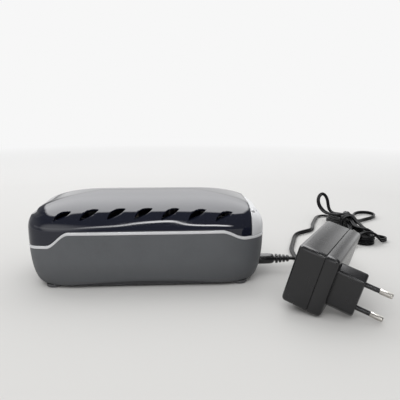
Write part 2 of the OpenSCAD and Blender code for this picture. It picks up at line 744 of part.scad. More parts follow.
module lead(points, ref, a, b) {
  color("#161618") sweep(points, ref, a, b, 8);
}
module lead_run() {
  lead(concat([lead_start + [lead_gap, 0, 0], lead_start + [2.5, 0, 0]], run_points), [0, 0, 1], lead_w, lead_t);
}
module lead_tail() {
  lead(concat([adapter_pt([relief_x, relief_y1 + lead_gap, 0]), adapter_pt([relief_x, relief_y1 + 2, 0])],
              tail_points), [0, 0, 1], lead_w, lead_t);
}
module lead_loop(k) {
  if (k == 1) lead(up_loop_points, [0.25, 1, 0], lead_t, lead_w);
  if (k == 2) lead(side_loop_points, [0, 0, 1], lead_w, lead_t);
  if (k == 3) lead(low_loop_points, [0, 0, 1], lead_w, lead_t);
}
module lead_hank() {
  color("#161618") linear_extrude(hank_h) {
    for (y = [hank_y0 + hank_w / 2, hank_y1 - hank_w / 2]) translate([hank_x, y]) circle(hank_w / 2);
    translate([hank_x - hank_w / 2, hank_y0 + hank_w / 2])
      square([hank_w, hank_y1 - hank_y0 - hank_w]);
  }
}

// Mains adapter, lying on the edges of its body and nose; X is the way its pins point
adapter_at = [147.9, -105.8, 0];
adapter_turn = -32.1;
nose_w = 35.3;
nose_t = 13.7;
nose_flat = 26.1;
adapter_lean = atan2((adapter_w - nose_w) / 2, nose_l);
edge_r = 2.4;
body_x0 = -nose_l - adapter_t;
seam_x = -nose_l - adapter_t / 3;
body_y0 = -nose_in;
body_y1 = adapter_l - nose_in;
body_mid = [(body_x0 - nose_l) / 2, (body_y0 + body_y1) / 2, 0];
relief_l = 22;
relief_x = body_mid.x;
relief_hole_r = 3.1;

function adapter_pt(p) = let (
    x = p.x * cos(adapter_lean) + (p.z + nose_w / 2) * sin(adapter_lean),
    z = -p.x * sin(adapter_lean) + (p.z + nose_w / 2) * cos(adapter_lean))
  adapter_at + [x * cos(adapter_turn) - p.y * sin(adapter_turn),
                x * sin(adapter_turn) + p.y * cos(adapter_turn), z];
relief_y1 = body_y1 + relief_l;

module at_adapter() {
  translate(adapter_at) rotate([0, 0, adapter_turn])
    translate([nose_w / 2 * sin(adapter_lean), 0, nose_w / 2 * cos(adapter_lean)])
      rotate([0, adapter_lean, 0]) children();
}
module nose_outline(g) {
  h = nose_t / 2 - g;
  e = nose_w / 2 - g * 1.2;
  f = nose_flat / 2 - g * 0.3;
  polygon([[0, e], [-h, f], [-h, -f], [0, -e], [h, -f], [h, f]]);
}
module nose_solid(g, x0, x1) {
  translate([x0, 0, 0]) rotate([90, 0, 90]) linear_extrude(x1 - x0) nose_outline(g);
}
module adapter_outer() {
  translate(body_mid) rounded_box([adapter_t, adapter_l, adapter_w], edge_r);
}
module adapter_inner() {
  w = 2 * adapter_wall;
  translate(body_mid) cube([adapter_t - w, adapter_l - w, adapter_w - w], center = true);
}
module beyond_seam(side) {
  translate([side > 0 ? seam_x + 0.05 : seam_x - 200, -200, -200]) cube([200, 400, 400]);
}
core_y0 = 6;
core_y1 = 48;
core_x0 = body_x0 + adapter_wall + 4;
core_t = 17;
core_h = 35;
leg = 5.8;
window = 6;
side_leg = 7;
adapter_board_y = -6;
module adapter_rear_case() {
  color("#3a3a3e") at_adapter() difference() {
    union() {
      intersection() {
        difference() {
          adapter_outer();
          adapter_inner();
        }
        beyond_seam(-1);
      }
      for (y = [core_y0, core_y1 - 4]) translate([body_x0 + adapter_wall - 0.5, y, -12]) cube([4.5, 4, 24]);
      translate([body_x0 + adapter_wall - 0.5, adapter_board_y - 3, -12]) cube([7, 3, 24]);
    }
    translate([relief_x, 0, 0]) rod_y(relief_hole_r, body_y1 - 5, body_y1 + 5);
  }
}
module adapter_front_case() {
  color("#38383c") at_adapter() difference() {
    union() {
      intersection() {
        difference() {
          adapter_outer();
          adapter_inner();
        }
        beyond_seam(1);
      }
      nose_solid(0, -nose_l - 1, 0);
    }
    nose_solid(adapter_wall, -nose_l - 3, -adapter_wall);
    for (s = [-1, 1]) translate([0, 0, s * mains_gap / 2]) rod_x(rod_r + pin_gap, -10, 5);
  }
}

// Mains pins: a thin shank in an insulating sleeve, and a bare tip
rod_r = 1.4;
sleeve_l = 10;
sleeve_r = mains_r - 0.2;
module mains_pin(k) {
  color("#d0d1d4") at_adapter() translate([0, 0, (k == 1 ? 1 : -1) * mains_gap / 2]) {
    rod_x(rod_r, -adapter_wall - 4, sleeve_l);
    rod_x(rod_r + 1.5, -adapter_wall - 2, -adapter_wall);
    rod_x(mains_r, sleeve_l, mains_l - 0.8);
    translate([mains_l - 0.8, 0, 0]) rotate([0, 90, 0]) cylinder(r1 = mains_r, r2 = mains_r - 0.7, h = 0.8);
  }
}
module pin_sleeve(k) {
  color("#1d1d1f") at_adapter() translate([0, 0, (k == 1 ? 1 : -1) * mains_gap / 2]) difference() {
    rod_x(sleeve_r, 0, sleeve_l);
    rod_x(rod_r + pin_gap, -1, sleeve_l + 1);
  }
}

// Adapter's inside: an iron core round a winding, and a small board
module transformer_core() {
  color("#6b6d72") at_adapter() difference() {
    translate([core_x0, core_y0, -core_h / 2]) cube([core_t, core_y1 - core_y0, core_h]);
    for (s = [-1, 1]) translate([core_x0 - 1, core_y0 + side_leg, s > 0 ? leg : -leg - window])
      cube([core_t + 2, core_y1 - core_y0 - 2 * side_leg, window]);
  }
}
module transformer_winding() {
  color("#a8622f") at_adapter() difference() {
    translate([core_x0 - 3.4, core_y0 + side_leg + 0.3, -leg - window + 0.3])
      cube([core_t + 6.8, core_y1 - core_y0 - 2 * side_leg - 0.6, 2 * (leg + window - 0.3)]);
    translate([core_x0 - 0.2, core_y0, -leg - 0.2]) cube([core_t + 0.4, core_y1 - core_y0, 2 * leg + 0.4]);
  }
}
module adapter_board() {
  color("#b08d4a") at_adapter() translate([body_x0 + adapter_wall + 0.6, adapter_board_y, -17])
    cube([22, board_t, 34]);
}
module adapter_parts() {
  at_adapter() translate([0, adapter_board_y + board_t, 0]) {
    color("#26374f") translate([body_mid.x + 3, 0, 8]) rod_y(4.5, 0, 8);
    color("#242427") for (z = [-13, -9, -5, -1]) translate([body_mid.x - 6, 1.3, z]) rod_x(1.3, 0, 9);
  }
}
module adapter_strain_relief() {
  color("#1a1a1c") at_adapter() translate([relief_x, body_y1, 0]) {
    rod_y(relief_hole_r + 1, -adapter_wall - 1.5, -adapter_wall);
    rod_y(relief_hole_r - 0.1, -adapter_wall - 1, 0.5);
    rotate([-90, 0, 0]) cylinder(r1 = 4, r2 = 2.7, h = relief_l);
  }
}

outer_shell();
base_plate();
trim_rim();
cell_tray();
bay_troughs();
end_cap();
hinge_pin();
lid();
for (k = [1:4]) foot(k);
for (k = [1:bays]) cell_slider(k);
for (k = [1:bays]) slider_contact(k);
for (k = [1:bays]) slider_spring(k);
for (k = [1:bays]) fixed_contact(k);
for (k = [1:bays]) status_light(k);
circuit_board();
power_coil();
capacitors();
control_chips();
heat_sink();
inlet_socket();
case_screws();
plug_body();
plug_barrel();
lead_run();
for (k = [1:3]) lead_loop(k);
lead_hank();
lead_tail();
adapter_rear_case();
adapter_front_case();
for (k = [1:2]) mains_pin(k);
for (k = [1:2]) pin_sleeve(k);
transformer_core();
transformer_winding();
adapter_board();
adapter_parts();
adapter_strain_relief();
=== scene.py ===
# %% [markdown]
# A desk charger for four round cells, with a wave-edged shell, a domed glossy lid and a mains
# adapter on a thin flat lead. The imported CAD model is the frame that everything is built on: it
# sets where each body sits and how it moves. Blender adds the fine shapes and the finishes.

# %% Load the frame
import json
import math
import bpy
import bmesh
import numpy as np
from mathutils import Matrix, Vector


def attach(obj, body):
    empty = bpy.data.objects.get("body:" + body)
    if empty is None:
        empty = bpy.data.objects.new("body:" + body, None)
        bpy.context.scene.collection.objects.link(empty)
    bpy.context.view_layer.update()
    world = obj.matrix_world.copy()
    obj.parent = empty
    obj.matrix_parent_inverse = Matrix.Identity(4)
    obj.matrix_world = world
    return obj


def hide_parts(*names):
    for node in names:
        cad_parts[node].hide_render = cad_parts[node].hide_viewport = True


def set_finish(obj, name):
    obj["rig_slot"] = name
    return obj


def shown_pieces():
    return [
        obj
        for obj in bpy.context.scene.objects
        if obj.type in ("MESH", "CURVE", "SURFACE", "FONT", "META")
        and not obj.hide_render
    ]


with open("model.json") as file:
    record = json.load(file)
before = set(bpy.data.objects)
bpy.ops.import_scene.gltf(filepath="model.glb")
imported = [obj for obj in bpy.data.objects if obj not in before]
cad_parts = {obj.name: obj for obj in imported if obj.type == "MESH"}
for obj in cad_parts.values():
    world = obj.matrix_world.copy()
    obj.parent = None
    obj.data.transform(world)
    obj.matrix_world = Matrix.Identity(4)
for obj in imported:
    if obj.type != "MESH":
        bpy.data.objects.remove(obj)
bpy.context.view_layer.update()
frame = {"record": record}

# %% [markdown]
# The photograph was taken with a short tele lens, a little above the table. The pins of the mains
# plug have a standard size, so the camera was fitted to them and to the outline of the charger.
# A camera in Blender looks along its own -Z, so it is turned up by almost a right angle first.

# %% Camera
MM = 0.001
look_down, look_right = 0.2077, 0.055


def new_object(name, data):
    made = bpy.data.objects.new(name, data)
    bpy.context.scene.collection.objects.link(made)
    return made


camera_data = bpy.data.cameras.new("camera")
camera_data.lens, camera_data.sensor_width = 40.5, 36
camera = new_object("camera", camera_data)
camera.location = (0.02425, -0.3944, 0.147)
camera.rotation_euler = (math.pi / 2 - look_down, 0, -look_right)
bpy.context.scene.camera = camera
print("camera", tuple(round(v, 3) for v in camera.location))

# %% [markdown]
# The lead is a flat twin cord, 4.6 by 2.4 mm, so soft that it keeps every fold. It was wound into
# a hank, tied by two turns round the middle, and its end was tucked through. A curve with a bevel
# could draw it, but it would twist where the cord stands up. So each point of the route also says
# which way the flat side faces. First come the sizes of the hank, in millimetres.

# %% Sizes of the hank
SIDE_UP = (0, 0, 1)
inlet_y, inlet_z = -10, 11
plug_end = (126.2, inlet_y, inlet_z)
hank_x, near_y, far_y = 229, 65.5, 160.5
waist_y, waist_r, waist_reach, turning_reach = 115, 2.6, 45, 22
wrap_r, wrap_z, wrap_pitch = 9.2, 10.6, 5.2
turns, layer, first_layer_z = 3, 2.7, 7.1
turn_r = (6.6, 9.3, 7, 9.4)
turn_z = (2.5, 2.5, 7.2, 7.2)


def smooth(v):
    c = min(1, max(0, v))
    return c * c * (3 - 2 * c)


def spread_at(y, r):
    return waist_r + (r - waist_r) * smooth(abs(y - waist_y) / waist_reach)


def flat_share(y):
    """How far the cord has turned from its edge to its flat side: 1 at the waist."""
    return math.exp(-((y - waist_y) / turning_reach) ** 2)


def lift_at(y, low, at_waist):
    w = flat_share(y)
    return (1 - w) * low + w * at_waist


print("hank", far_y - near_y, "mm long, cord stands on edge at its ends:", round(flat_share(near_y), 2))

# %% [markdown]
# The lead ends at the adapter, which lies on one edge of its body and one edge of its plug nose.
# It could be turned by eye. But a rigid thing that rests on two edges of known size has only one
# lean, so the lean is worked out. The adapter's own X is the way its pins point.

# %% Where the adapter lies
adapter_turn = math.radians(-32.1)
nose_w, nose_l, adapter_w, adapter_l, adapter_t = 35.3, 19, 46, 80, 30
lean = math.atan2((adapter_w - nose_w) / 2, nose_l)
adapter_place = (Matrix.Translation((147.9, -105.8, 0)) @ Matrix.Rotation(adapter_turn, 4, "Z")
                 @ Matrix.Translation((nose_w / 2 * math.sin(lean), 0, nose_w / 2 * math.cos(lean)))
                 @ Matrix.Rotation(lean, 4, "Y"))
body_x0, body_y0 = -nose_l - adapter_t, -14
body_y1 = body_y0 + adapter_l
relief_x, relief_l = (body_x0 - nose_l) / 2, 22
relief_root = adapter_place @ Vector((relief_x, body_y1, 0))
relief_end = adapter_place @ Vector((relief_x, body_y1 + relief_l, 0))
print("adapter leans", round(math.degrees(lean), 1), "degrees")

# %% [markdown]
# From the plug the cord goes straight for a few widths, sinks to the table and runs back to the
# hank. The route could be drawn with the mouse, but typed points can be set against the photograph
# one by one, and the CAD source uses the same ones.

# %% Lead from the plug to the hank
route = []


def go(points, facing=SIDE_UP):
    route.extend((tuple(p), facing) for p in points)


go([plug_end, (129, -10, 10.9), (132, -9.5, 10.4), (136, -6, 8.5), (138, 0, 5.6), (139.5, 8, 3),
    (140.5, 18, 1.8), (141, 30, 1.6), (143, 44, 1.6), (148, 60, 1.6), (153, 74, 1.6), (157, 86, 1.8)])
go([(163.5, 97, 2.3), (174, 105, 2.5), (184, 113, 2.3)], (0.5, -0.8, 0.5))
go([(190, 127, 1.7), (195, 142, 1.6), (201, 156, 1.6), (206.5, 168, 1.6), (211.5, 178, 1.6),
    (218.5, 184.5, 1.6), (225.5, 184.2, 1.6), (229, 180, 1.6)], (-0.25, 0.1, 1))
go([(hank_x, y, lift_at(y, 1.6, 4.4)) for y in range(172, 91, -8)])
go([(227, 83, 1.7), (221.5, 74, 1.7)])
print("route points to the hank", len(route))

# %% [markdown]
# The hank is three flat turns, laid in layers. At its ends the cord stands on edge, because it bends
# only that way, and at the tied waist it lies flat. Typing every point would hide this rule,
# so two small functions lay a fold and a side of each turn.

# %% Turns of the hank


def fold(centre_y, first, r, z):
    for a in range(first, first + 181, 20):
        c, s = math.cos(math.radians(a)), math.sin(math.radians(a))
        go([(hank_x + r * c, centre_y + r * s, z)], (c, s, 0.12))


def side_of_turn(side, ys, k, r_to, z_to):
    for y in ys:
        part = abs(y - ys[0]) / abs(ys[-1] - ys[0])
        r, z = turn_r[k] + (r_to - turn_r[k]) * part, turn_z[k] + (z_to - turn_z[k]) * part
        w = flat_share(y)
        go([(hank_x + side * spread_at(y, r), y, lift_at(y, z, first_layer_z + layer * k))],
           (side * (1 - w), 0, w + 0.12))


for k in range(turns + 1):
    fold(near_y, 180, turn_r[k], turn_z[k])
    if k < turns:
        side_of_turn(1, range(72, 159, 7), k, turn_r[k], turn_z[k])
        fold(far_y, 0, turn_r[k], turn_z[k])
        side_of_turn(-1, range(158, 71, -7), k, turn_r[k + 1], turn_z[k + 1])
print("route points with the turns", len(route))

# %% [markdown]
# Two tight turns round the waist hold the hank, and beyond them a short loop of the cord stands up.
# A helix is the true form of the tie. The loop is typed, with the way its flat side faces at each
# point, because only its own stiffness holds it up and no rule gives its shape.

# %% Tie and standing loop
go([(237.8, 79, 9.6), (235.6, 92, 12.2), (233.8, 101, 15.2), (232.4, 106.5, 18.3)], (0.2, 0, 1))
for a in range(0, 721, 24):
    s, c = math.sin(math.radians(a)), math.cos(math.radians(a))
    route.append(((hank_x - wrap_r * s, 109.8 + wrap_pitch * a / 360, wrap_z + wrap_r * c), (-s, 0, c)))
go([(225.4, 122.2, 18.9), (223.2, 126, 17.2), (221.6, 132, 15.6), (219.8, 139, 14.4), (217.2, 145.5, 13.6)])
route += [((213.4, 151, 14.2), (-0.4, -0.5, 0.8)), ((210, 155.5, 17.4), (-0.5, -0.8, 0.4)),
          ((207.4, 159.6, 22.5), (-0.5, -0.9, 0.1)), ((207.4, 163.5, 28.6), (-0.6, -0.8, 0.2)),
          ((210.4, 166.3, 33.6), (-0.4, -0.6, 0.7)), ((214.2, 167.2, 35.4), (0, -0.5, 0.8)),
          ((217.6, 166.2, 32.6), (0.4, -0.7, 0.5)), ((219.8, 164.4, 27.4), (0.4, -0.9, 0.1)),
          ((220.6, 162.4, 20.5), (0.4, -0.9, 0.1)), ((221.8, 160, 14.8), (0.4, -0.7, 0.5))]
go([(225.4, 157, 12), (230, 153.4, 11.9), (234, 149.4, 12.1), (238, 145, 12.2), (242, 141.2, 10.2),
    (246.5, 140.2, 6.6)])
print("route points with the standing loop", len(route))

# %% [markdown]
# Two loops lie on the table: a wide one behind the hank and a small one beside it. Then the tail
# crosses over the hank's near end and climbs to the adapter. The cord stands on edge in a loop,
# so a helper turns its flat side away from the loop's middle.

# %% Loops on the table and the tail


def on_edge(points, centre):
    for p in points:
        out = Vector((p[0] - centre[0], p[1] - centre[1])).normalized()
        go([p], (out.x, out.y, 0.15))


on_edge([(251, 142.2, 4.6), (257, 147.5, 3.2), (265, 154.5, 2.6), (277.5, 163, 2.6), (287, 172.5, 2.6),
         (291, 183.5, 2.6), (287.5, 193.5, 2.6), (277, 195.5, 2.6), (265.5, 187.5, 2.6)], (264, 183))
go([(257, 173, 3.4), (251, 162, 5.8), (246.3, 155.5, 9.6), (241.6, 150, 14), (237, 144.5, 15.6),
    (233, 137.5, 15.8), (230, 129, 15.9), (229, 121, 15.9), (229, 113, 15.9), (228.8, 106, 15.6),
    (228, 98.5, 14.2), (227, 91, 13.2), (228, 84.5, 12.8), (231.5, 79.6, 12.6), (236, 76.6, 12.2),
    (241, 76.2, 9.6), (245.3, 77.2, 5.8)])
on_edge([(249.6, 78.2, 3.2), (254.2, 76.8, 2.6), (256.2, 72.2, 2.6), (253.2, 67.6, 2.6), (248, 64.6, 2.6)],
        (249.5, 72))
go([(244.6, 63, 4.4), (241.4, 62, 8.6), (236.6, 61.4, 12.2), (229.5, 61, 13.2), (222.5, 60.2, 12.2),
    (217, 57.6, 8.2), (213.2, 53.4, 3.8), (209, 48, 1.9), (203.5, 41, 1.6), (198.5, 33, 1.8),
    (193.5, 25.5, 3), (188, 17, 6.5), (183, 6, 14), (178, -4, 22), (173.6, -12.1, 25.8), tuple(relief_end)])
print("route points", len(route))

# %% [markdown]
# The route's points are joined by one smooth line, and points are set along it at equal steps. A
# Blender curve could join them, but it would drop the facing that each point carries. Rows
# of six numbers keep the place and the facing together.

# %% Line of the lead
step = 2.0


def mixed(a, b, t_a, t_b, t):
    return (t_b - t) / (t_b - t_a) * a + (t - t_a) / (t_b - t_a) * b


def through(points, fine=12):
    """A smooth line through rows of numbers; the knots are as far apart as the places are."""
    p = np.array(points, float)
    p = np.vstack([2 * p[0] - p[1], p, 2 * p[-1] - p[-2]])
    apart = np.maximum(np.linalg.norm(np.diff(p[:, :3], axis=0), axis=1), 1e-6)
    knots = np.concatenate([[0], np.cumsum(apart ** 0.5)])
    out = []
    for i in range(1, len(p) - 2):
        k = knots[i - 1:i + 3]
        for t in np.linspace(k[1], k[2], fine, endpoint=False):
            a = [mixed(p[i - 1 + j], p[i + j], k[j], k[j + 1], t) for j in range(3)]
            b = [mixed(a[j], a[j + 1], k[j], k[j + 2], t) for j in range(2)]
            out.append(mixed(b[0], b[1], k[1], k[2], t))
    return np.array(out + [p[-2]])


def even(rows, gap):
    d = np.concatenate([[0], np.cumsum(np.linalg.norm(np.diff(rows[:, :3], axis=0), axis=1))])
    stops = np.linspace(0, d[-1], max(2, round(d[-1] / gap) + 1))
    return np.stack([np.interp(stops, d, rows[:, i]) for i in range(rows.shape[1])], 1)


def softened(rows, times):
    for _ in range(times):
        rows[1:-1] = 0.25 * rows[:-2] + 0.5 * rows[1:-1] + 0.25 * rows[2:]
    return rows


rows = softened(even(through([list(p) + list(f) for p, f in route]), step), 2)
lead_line, lead_facing = rows[:, :3], softened(rows[:, 3:], 3)
last_run = np.linspace(relief_end, relief_root, 12)[1:]
lead_line = np.vstack([lead_line, last_run])
lead_facing = np.vstack([lead_facing, np.tile(lead_facing[-1], (len(last_run), 1))])

# %% [markdown]
# The lead, the shell and the lid are all skins: rings of points, joined by faces. One could extrude
# a ring step by step as in the editor. A script that knows every ring makes the faces in one go.
# Each piece then says which body carries it, which finish it takes and which solids it replaces.

# %% Helpers for meshes


def mesh_object(name, verts, faces, smooth_faces=True):
    """A mesh from points in millimetres in the charger's own frame."""
    mesh = bpy.data.meshes.new(name)
    mesh.from_pydata([tuple(float(c) * MM for c in v) for v in verts], [], [tuple(f) for f in faces])
    mesh.validate()
    bm = bmesh.new()
    bm.from_mesh(mesh)
    bmesh.ops.recalc_face_normals(bm, faces=bm.faces)
    bm.to_mesh(mesh)
    bm.free()
    for poly in mesh.polygons:
        poly.use_smooth = smooth_faces
    return new_object(name, mesh)


def skin(name, rings, first=None, last=None, closed=False):
    """A skin through rings: closed on itself, or with a fan of faces round a point at each end."""
    n, k = len(rings), len(rings[0])
    verts = [p for ring in rings for p in ring]
    faces = [(j * k + i, j * k + (i + 1) % k, ((j + 1) % n) * k + (i + 1) % k, ((j + 1) % n) * k + i)
             for j in range(n if closed else n - 1) for i in range(k)]
    if first is not None:
        verts.append(first)
        faces += [(i, (i + 1) % k, len(verts) - 1) for i in range(k)]
    if last is not None:
        verts.append(last)
        faces += [((n - 1) * k + (i + 1) % k, (n - 1) * k + i, len(verts) - 1) for i in range(k)]
    return mesh_object(name, verts, faces)


def piece(obj, body, slot, *nodes):
    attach(obj, body)
    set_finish(obj, slot)
    if nodes:
        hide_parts(*nodes)
    return obj


def faces_of(*objs):
    return [len(obj.data.polygons) for obj in objs]


print("mesh helpers ready")

# %% [markdown]
# The cord is two round wires side by side with a shallow groove between them. A bevelled curve
# would be less work, but its flat side would flip wherever the cord stands up. So the outline is
# laid across the line at each point, turned to the facing there.

# %% Tube of the lead
lead_w, lead_t = 4.6, 2.4


def twin_outline(w, t, sides=7):
    off, r, groove = w / 2 - t / 2, t / 2, [(0.25, t * 0.33), (-0.25, t * 0.33)]
    angles = [math.radians(a) for a in np.linspace(-126, 126, sides)]
    right = [(off + r * math.cos(a), r * math.sin(a)) for a in angles]
    left = [(-x, y) for x, y in reversed(right)]
    return right + groove + left + [(-x, -y) for x, y in groove]


def swept(points, facings, outline):
    """Rings across a line, with their flat side turned to the facing at each point."""
    along = np.gradient(points, axis=0)
    along /= np.linalg.norm(along, axis=1)[:, None]
    up = facings - (facings * along).sum(1)[:, None] * along
    up /= np.linalg.norm(up, axis=1)[:, None]
    across = np.cross(along, up)
    return [[points[i] + across[i] * u + up[i] * v for u, v in outline] for i in range(len(points))]


lead_rings = swept(lead_line, lead_facing, twin_outline(lead_w, lead_t))
lead = skin("lead_flat_twin", lead_rings, lead_line[0], lead_line[-1])
piece(lead, "base", "lead", "lead_run", "lead_loop_1", "lead_loop_2", "lead_loop_3", "lead_hank",
      "lead_tail")
print("lead lowest", round(min(p[2] for r in lead_rings for p in r), 2), "mm")

# %% [markdown]
# The body is an oval that is nearly a rectangle in plan, with a curved crown. It could be modelled
# by hand from a block. But shell, rim, lid and cap have to share one form, so one pair of sums
# gives its half length and half width at any height, as in the CAD source.

# %% The form of the body
half_body, half_side, body_h, waist_z, low_z = 98.8, 45, 74.6, 46, 2.5
plan_power = 6


def half_l(z):
    if z > waist_z:
        a = min(1, (z - waist_z) / (body_h - waist_z))
        return half_body - 60 * (1 - (1 - a ** 3.34) ** (1 / 1.42))
    b = min(1, (waist_z - z) / (waist_z - low_z))
    return half_body - 12.8 * (1 - (1 - b ** 2.58) ** (1 / 2.58))


def half_w(z):
    if z > waist_z:
        return half_side * math.sqrt(max(0, 1 - ((z - waist_z) / (body_h - waist_z)) ** 2))
    return half_side - 0.5 * min(1, (waist_z - z) / (waist_z - low_z)) ** 2


def spow(c, e):
    return math.copysign(abs(c) ** e, c)


def form_pt(t, z, inset, zoff=0):
    e = 2 / plan_power
    x, y = (half_l(z) - inset) * spow(math.cos(t), e), (half_w(z) - inset) * spow(math.sin(t), e)
    return (x, y, z + zoff)


print("width at the waist", 2 * half_w(waist_z), "length at the crown", round(2 * half_l(body_h), 1))

# %% [markdown]
# The rim runs in a wave: level in the middle, lower at both ends. The shell's lower edge is a low
# arch. Curves through points could draw them, but the shell, the rim, the lid and the cap all meet
# along the wave. So small sums give both heights at any place along the body.

# %% The wave and the arch
shell_wall, skirt_z, arch_rise, arch_half = 2.4, 2.4, 3, 70
trim_mid, band, seat = 46.4, 1.3, 0.1
wave_x, wave_l = 62, 19


def trim_at(x):
    z = trim_mid - 11.4 * smooth((-wave_x - x) / wave_l) - 1.2 * smooth((-wave_x - wave_l - x) / 17.8)
    return z - 6.1 * smooth((x - wave_x) / wave_l) + 0.8 * smooth((x - wave_x - wave_l) / 17.8)


def edge_at(x):
    return skirt_z + arch_rise * min(1, max(0, 1 - (x / arch_half) ** 2))


def plan_x(t):
    return half_body * spow(math.cos(t), 2 / plan_power)


print("trim heights", round(trim_at(-95), 1), trim_at(0), round(trim_at(95), 1))

# %% [markdown]
# The rings of every large piece run round this plan. A subdivision surface could smooth a coarse
# cage. But its form would drift from the sums, so the points are simply laid close together, at
# equal steps round the outline, and gloss runs over them without facets.

# %% Steps round the plan


def even_angles(count):
    """Plan angles at equal steps round the outline."""
    quarter = [math.asin((0.891 * u) ** 3) for u in np.linspace(0, 1, 200)]
    quarter += [math.acos((0.891 * u) ** 3) for u in np.linspace(1, 0, 200)[1:]]
    pts = np.array([form_pt(t, waist_z, 0)[:2] for t in quarter])
    d = np.concatenate([[0], np.cumsum(np.linalg.norm(np.diff(pts, axis=0), axis=1))])
    first = list(np.interp(np.linspace(0, d[-1], count // 4 + 1), d, quarter))
    half = first + [math.pi - t for t in reversed(first[:-1])]
    return half[:-1] + [t + math.pi for t in half[:-1]]


plan = even_angles(340)
print("plan points", len(plan))

# %% [markdown]
# Cuts such as the vents could be knifed into the mesh by hand. A boolean modifier, applied at
# once, does it from sizes: a second mesh is taken out of the first and thrown away. Edges are
# then softened by a bevel that takes only the sharp ones, as a mould never leaves a knife edge.

# %% Helpers for cutting and softening


def applied(obj, kind, **settings):
    mod = obj.modifiers.new("step", kind)
    for key, value in settings.items():
        setattr(mod, key, value)
    bpy.context.view_layer.update()
    made = bpy.data.meshes.new_from_object(obj.evaluated_get(bpy.context.evaluated_depsgraph_get()))
    obj.modifiers.remove(mod)
    obj.data = made
    return obj


def cut(obj, cutter, operation="DIFFERENCE"):
    applied(obj, "BOOLEAN", object=cutter, operation=operation, solver="EXACT")
    bpy.data.objects.remove(cutter)
    return obj


def softened_edges(obj, width, angle=40, segments=2):
    return applied(obj, "BEVEL", width=width * MM, segments=segments, limit_method="ANGLE",
                   angle_limit=math.radians(angle), use_clamp_overlap=True, harden_normals=False)


def creased(obj, angle=35):
    obj.data.set_sharp_from_angle(angle=math.radians(angle))
    for poly in obj.data.polygons:
        poly.use_smooth = True
    return obj


def joined(objs, name):
    """One mesh out of several; the first object keeps it."""
    bm = bmesh.new()
    for o in objs:
        bm.from_mesh(o.data)
    bm.to_mesh(objs[0].data)
    bm.free()
    for o in objs[1:]:
        bpy.data.objects.remove(o)
    objs[0].name = name
    return objs[0]


print("helpers for cutting ready")

# %% [markdown]
# Many of the smaller pieces and cutters are plates and boxes. Blender's ready cube would need
# moving and scaling each time. Here an outline is typed in millimetres and placed by a
# matrix, as one would mark a plate out and then set it in position.

# %% Helpers for plates and boxes


def walls(n):
    """Faces between two outlines of n points."""
    return [(i, (i + 1) % n, n + (i + 1) % n, n + i) for i in range(n)]


def block(name, bottom, top, place):
    """A solid between two outlines of as many points, placed by a matrix."""
    n = len(bottom)
    faces = [tuple(range(n))[::-1], tuple(range(n, 2 * n))] + walls(n)
    return mesh_object(name, [place @ Vector(v) for v in bottom + top], faces, smooth_faces=False)


def prism(name, outline, depth, place):
    """An outline in millimetres, pushed along its own z to both sides by half of depth."""
    bottom, top = [[(x, y, s * depth / 2) for x, y in outline] for s in (-1, 1)]
    return block(name, bottom, top, place)


def box_mm(name, low, high, place=Matrix.Identity(4)):
    mid = [(a + b) / 2 for a, b in zip(low, high)]
    w, d = high[0] - low[0], high[1] - low[1]
    outline = [(-w / 2, -d / 2), (w / 2, -d / 2), (w / 2, d / 2), (-w / 2, d / 2)]
    return prism(name, outline, high[2] - low[2], place @ Matrix.Translation(mid))


print("helpers for plates ready")

# %% [markdown]
# Pins, plugs, ribs and the cutters for bores are turned, as on a lathe: a profile is drawn once
# and spun round its own axis. The screw modifier could spin it. Here the rings are made at
# once, so that the ends are closed with fans and the piece lands in place in one step.

# %% Helper for turned pieces


def turned(name, profile, place, steps=48, caps=True):
    """A profile of (radius, along) turned round its own z."""
    angles = [2 * math.pi * i / steps for i in range(steps)]
    rings = [[place @ Vector((r * math.cos(a), r * math.sin(a), z)) for a in angles] for r, z in profile]
    if not caps:
        return skin(name, rings, closed=True)
    return skin(name, rings, place @ Vector((0, 0, profile[0][1])), place @ Vector((0, 0, profile[-1][1])))


ALONG_X = Matrix.Rotation(math.pi / 2, 4, "Y")
ALONG_Y = Matrix.Rotation(-math.pi / 2, 4, "X")
SEEN_FROM_END = Matrix(((0, 0, 1, 0), (1, 0, 0, 0), (0, 1, 0, 0), (0, 0, 0, 1)))


def at(x, y, z):
    return Matrix.Translation((x, y, z))


print("axes ready")

# %% [markdown]
# The shell is a moulded tub with a straight waist, drawn in towards the table at its ends. A
# solidify modifier could give it thickness. One closed skin keeps the two edges under control: up
# the outside, over the top edge, and down the inside, with a small round at the lower edge.

# %% Outer shell
inlet_hole_r = 5.5


def shell_pt(t, f, inset, up=0):
    x = plan_x(t)
    z0, z1 = edge_at(x), trim_at(x) - band - seat
    return form_pt(t, z0 + (z1 - z0) * f, inset, up)


shell_rings = [[shell_pt(t, 0, 0.9) for t in plan], [shell_pt(t, 0.006, 0.3) for t in plan]]
shell_rings += [[shell_pt(t, f, 0) for t in plan] for f in np.linspace(0, 1, 30)[1:]]
shell_rings += [[shell_pt(t, f, shell_wall) for t in plan] for f in (1, 0.75, 0.5, 0.3, 0.15, 0.06, 0)]
shell = skin("shell_moulding", shell_rings, closed=True)
inlet_cut = turned("inlet_cut", [(inlet_hole_r, -20), (inlet_hole_r, 20)],
                   at(half_body, inlet_y, inlet_z) @ ALONG_X)
piece(creased(cut(shell, inlet_cut)), "base", "shell", "outer_shell")
print("shell faces", faces_of(shell))

# %% [markdown]
# A silver rim lies on the shell's top edge and follows its wave. A curve with a bevel could follow
# the wave too, but the rim's inner foot has to go down inside the shell. So its section is typed
# as steps in and up. It stands a little proud and is rounded over, and so reads as a bright line.

# %% Silver rim
rim_g, rim_t, rim_foot_z, proud = 2.6, 1.8, 24, 0.25


def rim_ring(inset, up):
    return [form_pt(t, trim_at(plan_x(t)), inset, up) for t in plan]


